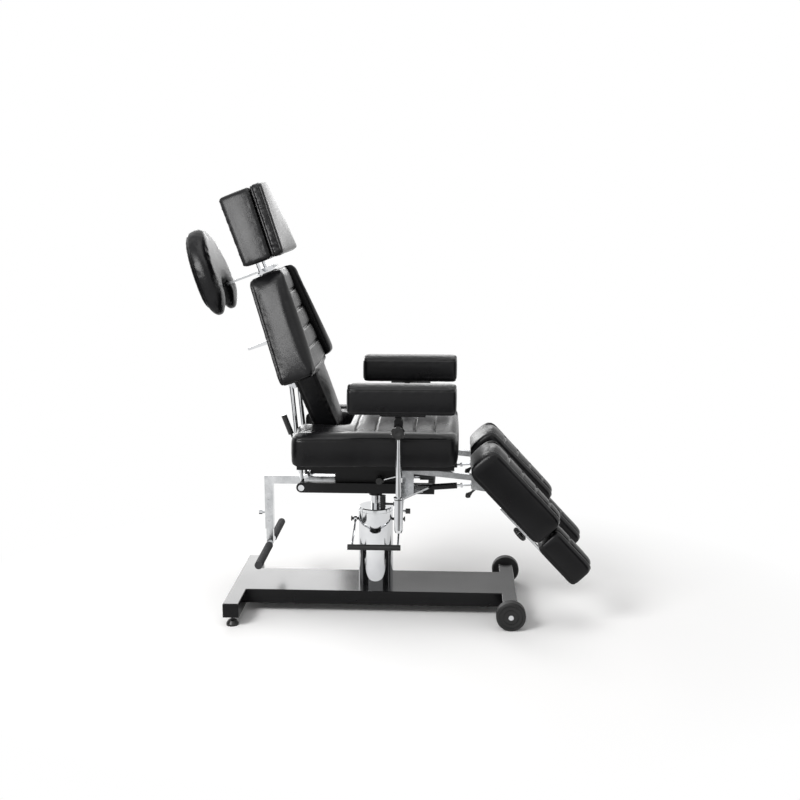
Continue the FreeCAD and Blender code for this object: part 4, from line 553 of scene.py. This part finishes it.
backPad = {
    "node": "back_cushion", "name": "BackPad", "body": "back", "drawing": "back", "voxel": 0.005,
    "shrink": 0.0025, "cap": 0.0055, "fill": 0.75,
    "held": lambda x, y, z: fadeOut(x, *backForm["board"]),
    "seams": [upSeam(backForm["firstChannel"] + backForm["pitch"] * step,
                     lambda x, y, z: smoothStep(x, *backForm["front"]), **channelCut)
              for step in range(backForm["channels"])]
    + [crossSeam(backForm["waistSeam"], lambda x, y, z: fadeOut(z, *backForm["waist"]),
                 gather=0.0004, **flatCut),
       crossSeam(backForm["rearSeam"], everywhere, deep=0.0016, width=0.003)],
}

bolsterForm = {
    "rear": (0.106, 0.114), "foot": (0.386, 0.392), "inner": (0.002, 0.012), "seam": 0.113,
    "seamFrom": (0.105, 0.109)}


def bolsterHeld(x, y, z):
    ends = np.maximum(fadeOut(x, *bolsterForm["rear"]), fadeOut(z, *bolsterForm["foot"]))
    return np.maximum(ends, fadeOut(np.abs(y) - panelHalf(z), *bolsterForm["inner"]))


bolsterPad = {
    "node": "back_bolsters", "name": "BackBolsters", "body": "back", "drawing": "back",
    "voxel": 0.005, "shrink": 0.002, "cap": 0.007, "fill": 0.85, "smoothing": 8, "after": 14,
    "held": bolsterHeld,
    "seams": [crossSeam(bolsterForm["seam"],
                        lambda x, y, z: smoothStep(x, *bolsterForm["seamFrom"]),
                        gather=0.0003, **flatCut)],
}

headForm = {
    "low": 0.785, "high": 1.040, "lowHalf": 0.176, "highHalf": 0.092, "lowRear": 0.110,
    "highRear": 0.098, "rim": (0.012, 0.018), "blockFront": (0.200, 0.210), "blockSeam": 0.207,
    "padIn": 0.008, "padRear": (0.216, 0.222), "padSeam": 0.2215, "frontSeam": 0.2480,
    "padFront": (0.251, 0.255)}


def headHalf(z):
    return between(z, headForm["low"], headForm["high"], headForm["lowHalf"], headForm["highHalf"])


def headRear(z):
    return between(z, headForm["low"], headForm["high"], headForm["lowRear"], headForm["highRear"])


def headEnds(z):
    # how far a point is from the nearer of the head cushions' two ends
    return np.minimum(z - headForm["low"], headForm["high"] - z)


def blockHeld(x, y, z):
    # the block's cover is drawn tight at its front and along the outline of its rear face
    outline = np.minimum(headHalf(z) - np.abs(y), headEnds(z))
    rim = fadeOut(x - headRear(z), *headForm["rim"]) * fadeOut(outline, *headForm["rim"])
    return np.maximum(smoothStep(x, *headForm["blockFront"]), rim)


def padHeld(x, y, z):
    outline = np.minimum(headHalf(z) - headForm["padIn"] - np.abs(y), headEnds(z))
    return np.maximum(fadeOut(x, *headForm["padRear"]), fadeOut(outline, *headForm["rim"]))


headBlockPad = {
    "node": "head_block", "name": "HeadBlock", "body": "headrest", "drawing": "back",
    "voxel": 0.005, "shrink": 0.002, "cap": 0.006, "fill": 0.9, "smoothing": 8, "after": 8,
    "held": blockHeld,
    "seams": [crossSeam(headForm["blockSeam"], everywhere,
                        deep=0.0018, width=0.003, gather=0.0004)],
}
headPad = {
    "node": "head_pad", "name": "HeadPad", "body": "headrest", "drawing": "back", "voxel": 0.004,
    "shrink": 0.0015, "cap": 0.004, "fill": 0.6, "held": padHeld,
    "seams": [crossSeam(headForm["padSeam"], everywhere, deep=0.002, width=0.0028, gather=0.0004),
              crossSeam(headForm["frontSeam"], lambda x, y, z: fadeOut(x, *headForm["padFront"]),
                        deep=0.0026, width=0.0028, gather=0.0003, stitched=True)],
    "gusset": {"low": headForm["padSeam"], "high": headForm["frontSeam"], "close": 60.0, "over": 20,
               "deep": 0.0022},
}

cradleForm = {
    "half": 0.165, "side": 0.762, "top": 0.974, "low": 0.664, "arch": 0.055, "thick": 0.074,
    "edge": 0.030, "bulge": 3.6, "tip": 0.50, "taperTo": 0.745, "thinnest": 0.25,
    "lugAt": 0.028, "lugHalf": 0.010, "board": (-0.072, -0.066), "seam": -0.060,
    "seamFrom": (-0.069, -0.064)}


def roundCradle(piece):
    # the horseshoe's slab becomes a roll: thin towards its outline, thinner towards the two tips
    form = cradleForm
    points = pointsOf(piece.data)
    x, y, z = intoDrawing("back", points)
    across = np.abs(y)
    lobe = (form["half"] - form["arch"]) / 2
    level = form["low"] + lobe
    crown = form["top"] - form["side"]
    reach = np.hypot(across / form["half"], np.maximum(z - form["side"], 0) / crown)
    outer = (1 - reach) * np.where(z > form["side"], (form["half"] + crown) / 2, form["half"])
    inner = np.where(z > level, np.hypot(y, z - level), across) - form["arch"]
    inDeep = np.minimum(outer, inner)
    tips = lobe - np.hypot(across - form["half"] + lobe, z - level)
    inDeep = np.where(z < level, np.minimum(inDeep, tips), inDeep)
    part = np.clip(inDeep / form["edge"], 0, 1)
    roll = (1 - (1 - part) ** form["bulge"]) ** (1 / form["bulge"])
    taper = form["tip"] + (1 - form["tip"]) * smoothStep(z, form["low"], form["taperTo"])
    middle = -form["thick"] / 2
    wanted = middle + (x - middle) * np.maximum(roll, form["thinnest"]) * taper
    # the lugs of the bar's hinge stay as they are
    keep = np.abs(across - form["lugAt"]) < form["lugHalf"]
    keep &= z < level + form["arch"]
    shift = np.where(keep, 0, wanted - x)
    lean = backHinge["lean"]
    front = np.array([math.cos(lean), 0, math.sin(lean)])
    setPoints(piece.data, points + shift[:, None] * front)


cradlePad = {
    "node": "cradle_pad", "name": "CradlePad", "body": "face_cradle", "drawing": "back",
    "voxel": 0.005, "shrink": 0.0025, "cap": 0.0035, "fill": 0.85, "smoothing": 16, "after": 6,
    "shape": roundCradle, "held": lambda x, y, z: fadeOut(x, *cradleForm["board"]),
    "seams": [crossSeam(cradleForm["seam"], lambda x, y, z: smoothStep(x, *cradleForm["seamFrom"]),
                        gather=0.0005, **flatCut)],
}

armForm = {"base": (0.780, 0.788), "upperSeam": 0.862, "lowerSeam": 0.788}


def armPad(side):
    return {
        "node": "arm_cushion_" + side, "name": "ArmPad_" + side, "body": "armrest_" + side,
        "drawing": "chair", "voxel": 0.005, "shrink": 0.0025, "cap": 0.007, "fill": 0.9, "after": 4,
        "held": lambda x, y, z: fadeOut(z, *armForm["base"]),
        "seams": [upSeam(armForm["upperSeam"], everywhere,
                         deep=0.0012, width=0.0024, gather=0.0004),
                  upSeam(armForm["lowerSeam"], everywhere, gather=0.0004, **flatCut)],
    }


# how near to the outline, how far below the top and how near to a corner the held band ends
edgeBand = {"rim": (0.012, 0.017), "below": (0.021, 0.016), "corner": (0.010, 0.015)}


def edgeHeld(side, end, z, top):
    # the cover is drawn tight along its long top edges and its upright corners
    low, high = edgeBand["below"]
    along = fadeOut(np.minimum(side, end), *edgeBand["rim"]) * smoothStep(z, top - low, top - high)
    corner = fadeOut(side, *edgeBand["corner"]) * fadeOut(end, *edgeBand["corner"])
    return np.maximum(along, corner)


legForm = {
    "knee": -0.050, "ankle": 0.305, "kneeOuter": 0.267, "ankleOuter": 0.256, "kneeInner": 0.045,
    "ankleInner": 0.099, "thick": 0.122, "base": (0.008, 0.015), "top": (0.100, 0.112),
    "panel": (0.030, 0.036), "firstChannel": 0.032, "pitch": 0.070, "channels": 4,
    "borders": (0.034, 0.047), "baseSeam": 0.016}


def legOuter(x):
    return between(x, legForm["knee"], legForm["ankle"],
                   legForm["kneeOuter"], legForm["ankleOuter"])


def legInner(x):
    return between(x, legForm["knee"], legForm["ankle"],
                   legForm["kneeInner"], legForm["ankleInner"])


def legTop(x, y, z):
    return smoothStep(z, *legForm["top"])


def legPanel(x, y, z):
    across = np.abs(y)
    return legTop(x, y, z) * smoothStep(across - legInner(x), *legForm["panel"]) \
        * smoothStep(legOuter(x) - across, *legForm["panel"])


def legHeld(x, y, z):
    side = np.minimum(legOuter(x) - np.abs(y), np.abs(y) - legInner(x))
    end = np.minimum(x - legForm["knee"], legForm["ankle"] - x)
    return np.maximum(fadeOut(z, *legForm["base"]), edgeHeld(side, end, z, legForm["thick"]))


def legPad(side):
    seams = [crossSeam(legForm["firstChannel"] + legForm["pitch"] * step, legPanel, **channelCut)
             for step in range(legForm["channels"])]
    border = {"on": legTop, "deep": 0.004, "width": 0.0026}
    for inset in legForm["borders"]:
        for edge, away in ((legOuter, inset), (legInner, -inset)):
            seams.append(dict(border, line=lambda x, y, z, edge=edge, away=away:
                              np.abs(y) - edge(x) + away))
    seams.append(upSeam(legForm["baseSeam"], everywhere, **flatCut))
    return {
        "node": "leg_cushion_" + side, "name": "LegPad_" + side, "body": "leg_" + side,
        "drawing": "leg", "voxel": 0.005, "shrink": 0.001, "cap": 0.0045, "fill": 0.8,
        "ripple": 0.0001, "smoothing": 3, "seams": seams, "held": legHeld,
    }


footForm = {
    "start": 0.315, "end": 0.500, "inner": 0.099, "outer": 0.254, "thick": 0.088,
    "base": (0.004, 0.012), "top": (0.066, 0.078), "channel": 0.385, "panelInner": (0.128, 0.134),
    "panelOuter": 0.225, "panelEdge": (0, 0.006), "borders": (0.131, 0.143, 0.210, 0.222),
    "baseSeam": 0.014}


def footTop(x, y, z):
    return smoothStep(z, *footForm["top"])


def footPanel(x, y, z):
    return footTop(x, y, z) * smoothStep(np.abs(y), *footForm["panelInner"]) \
        * smoothStep(footForm["panelOuter"] - np.abs(y), *footForm["panelEdge"])


def footHeld(x, y, z):
    side = np.minimum(footForm["outer"] - np.abs(y), np.abs(y) - footForm["inner"])
    end = np.minimum(x - footForm["start"], footForm["end"] - x)
    return np.maximum(fadeOut(z, *footForm["base"]), edgeHeld(side, end, z, footForm["thick"]))


def footPad(side):
    seams = [crossSeam(footForm["channel"], footPanel, deep=0.0035, width=0.0035)]
    for at in footForm["borders"]:
        seams.append({"line": lambda x, y, z, at=at: np.abs(y) - at, "on": footTop,
                      "deep": 0.0035, "width": 0.0026})
    seams.append(upSeam(footForm["baseSeam"], everywhere, **flatCut))
    return {
        "node": "foot_cushion_" + side, "name": "FootPad_" + side, "body": "foot_" + side,
        "drawing": "leg", "voxel": 0.005, "shrink": 0.001, "cap": 0.0045, "fill": 0.85,
        "ripple": 0.0001, "smoothing": 3, "seams": seams, "held": footHeld,
    }


padSets = [seatPad, backPad, bolsterPad, headBlockPad, headPad, cradlePad]
for side in sides:
    padSets += [armPad(side), legPad(side), footPad(side)]
padSets = [dict(usualPad, **pad) for pad in padSets]

seamHold = 0.9  # in voxels: this near to a seam the cover can't rise
caps = {}
for pad in padSets:
    piece = padCopy(pad)
    if pad["shape"]:
        pad["shape"](piece)
    pad["piece"] = piece
    local = intoDrawing(pad["drawing"], pointsOf(piece.data))
    held = pad["held"](*local)
    for seam in pad["seams"]:
        distance, there = seamLevel(seam, *local)
        held = np.maximum(held, there * (distance < pad["voxel"] * seamHold))
    addCloth(piece, held)
    caps[piece] = pad["cap"]
print("stage: covers cut")
settleCloth(caps)
print("stage: covers blown up")

for pad in padSets:
    piece = pad["piece"]
    if pad["after"]:
        applyModifier(piece, "SMOOTH", factor=smoothBy, iterations=pad["after"])
    applyModifier(piece, "SUBSURF", levels=1, render_levels=1)
    sewPad(piece, pad)
    piece.data.materials.append(blackLeather)
    pick(piece)
    bpy.ops.object.shade_smooth()
    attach(piece, pad["body"])
    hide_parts(pad["node"])
print("stage: covers sewn")


# floor, light and the white studio

def makeFloor(look):
    # grey-white paper under the chair, which turns into plain white away from it
    deselectAll()
    bpy.ops.mesh.primitive_plane_add(size=look["size"], location=(0, 0, 0))
    floor = bpy.context.object
    floor.name = "StudioFloor"
    material = bpy.data.materials.new("PaleFloor")
    material.use_nodes = True
    tree = material.node_tree
    tree.nodes.clear()
    out = tree.nodes.new("ShaderNodeOutputMaterial")
    paper = addNode(tree, "ShaderNodeBsdfDiffuse", Color=look["colour"])
    glow = addNode(tree, "ShaderNodeEmission", Color=(1, 1, 1, 1), Strength=1.0)
    length = tree.nodes.new("ShaderNodeVectorMath")
    length.operation = "LENGTH"
    tree.links.new(surfacePlace(tree, look["spread"]), length.inputs[0])
    far = rangeOf(tree, length.outputs["Value"], 0, 1, look["paperTo"], look["whiteFrom"])
    mix = tree.nodes.new("ShaderNodeMixShader")
    tree.links.new(mathOf(tree, "MULTIPLY", far, seenDirectly(tree)), mix.inputs["Fac"])
    tree.links.new(paper.outputs["BSDF"], mix.inputs[1])
    tree.links.new(glow.outputs["Emission"], mix.inputs[2])
    tree.links.new(mix.outputs["Shader"], out.inputs["Surface"])
    floor.data.materials.append(material)


def seenDirectly(tree):
    # 1 for rays that end in the picture, in a reflection or through glass
    path = tree.nodes.new("ShaderNodeLightPath")
    total = path.outputs["Is Camera Ray"]
    for name in ("Is Glossy Ray", "Is Transmission Ray"):
        total = mathOf(tree, "MAXIMUM", total, path.outputs[name])
    return total


def makeWorld(level):
    # white where it is seen, and as bright as the level says where it only gives light
    world = bpy.data.worlds.new("Studio")
    world.use_nodes = True
    scene.world = world
    tree = world.node_tree
    sky = tree.nodes["Background"]
    sky.inputs["Color"].default_value = (1, 1, 1, 1)
    tree.links.new(rangeOf(tree, seenDirectly(tree), level, 1.0, 0.0, 1.0), sky.inputs["Strength"])


def addSoftbox(name, box):
    bpy.ops.object.light_add(type="AREA", location=box["at"])
    lamp = bpy.context.object
    lamp.name = name
    lamp.data.shape = "RECTANGLE"
    lamp.data.size, lamp.data.size_y = box["size"]
    lamp.data.energy = box["power"]
    aim = Vector(box["towards"]) - Vector(box["at"])
    lamp.rotation_euler = aim.to_track_quat("-Z", "Y").to_euler()
    lamp.visible_camera = False


floorLook = {"size": 40.0, "colour": (0.96, 0.955, 0.95, 1), "spread": (1, 1.25, 1),
             "paperTo": 0.8, "whiteFrom": 1.7}
worldLevel = 0.52
makeFloor(floorLook)
makeWorld(worldLevel)
softboxes = {
    "TopSoftbox": {
        "at": (0.1, -0.4, 3.4), "towards": (0.0, 0.0, 0.5), "size": (2.2, 1.6), "power": 22},
    "FrontSoftbox": {
        "at": (-2.1, -2.5, 2.95), "towards": (-0.5, 0, 1.1), "size": (1.6, 1.2), "power": 105},
    "RearSoftbox": {
        "at": (-1.45, 3.2, 1.25), "towards": (-0.5, 0, 0.3), "size": (1.9, 1.3), "power": 37},
    "BackSoftbox": {
        "at": (0.1, 3.2, 2.1), "towards": (-0.3, 0, 1.0), "size": (1.3, 1.1), "power": 12},
}
for name, box in softboxes.items():
    addSoftbox(name, box)


cardCloth = {"weave": 30.0, "roughness": 0.9}


def addCard(name, card):
    # a black or grey card, upright beside the set or flat before it, seen only in reflections
    deselectAll()
    bpy.ops.mesh.primitive_plane_add(size=1, location=card["at"], rotation=(0, card["turn"], 0))
    panel = bpy.context.object
    panel.name = name
    panel.scale = (card["high"], card["long"], 1)
    bpy.ops.object.transform_apply(location=True, rotation=True, scale=True)
    material, tree, shader = newMaterial(name + "Cloth")
    fine = noiseTexture(tree, surfacePlace(tree), cardCloth["weave"])
    tree.links.new(rampOf(tree, fine, card["dark"], card["pale"]), shader.inputs["Base Color"])
    shader.inputs["Roughness"].default_value = cardCloth["roughness"]
    panel.data.materials.append(material)
    panel.visible_camera = False
    panel.visible_diffuse = False
    panel.visible_shadow = False


black = {"dark": (0.01, 0.01, 0.01), "pale": (0.02, 0.02, 0.02)}
cards = {
    "LeftCard": dict(black, at=(-2.3, -0.9, 1.0), turn=math.pi / 2, high=2.0, long=2.2),
    "RightCard": dict(black, at=(2.3, -0.9, 1.0), turn=math.pi / 2, high=2.0, long=2.2),
    "FloorCard": {"at": (0.60, -3.1, 0.012), "turn": 0.0, "high": 2.0, "long": 3.7,
                  "dark": (0.24, 0.24, 0.24), "pale": (0.28, 0.28, 0.28)},
}
for name, card in cards.items():
    addCard(name, card)
print("stage: studio")
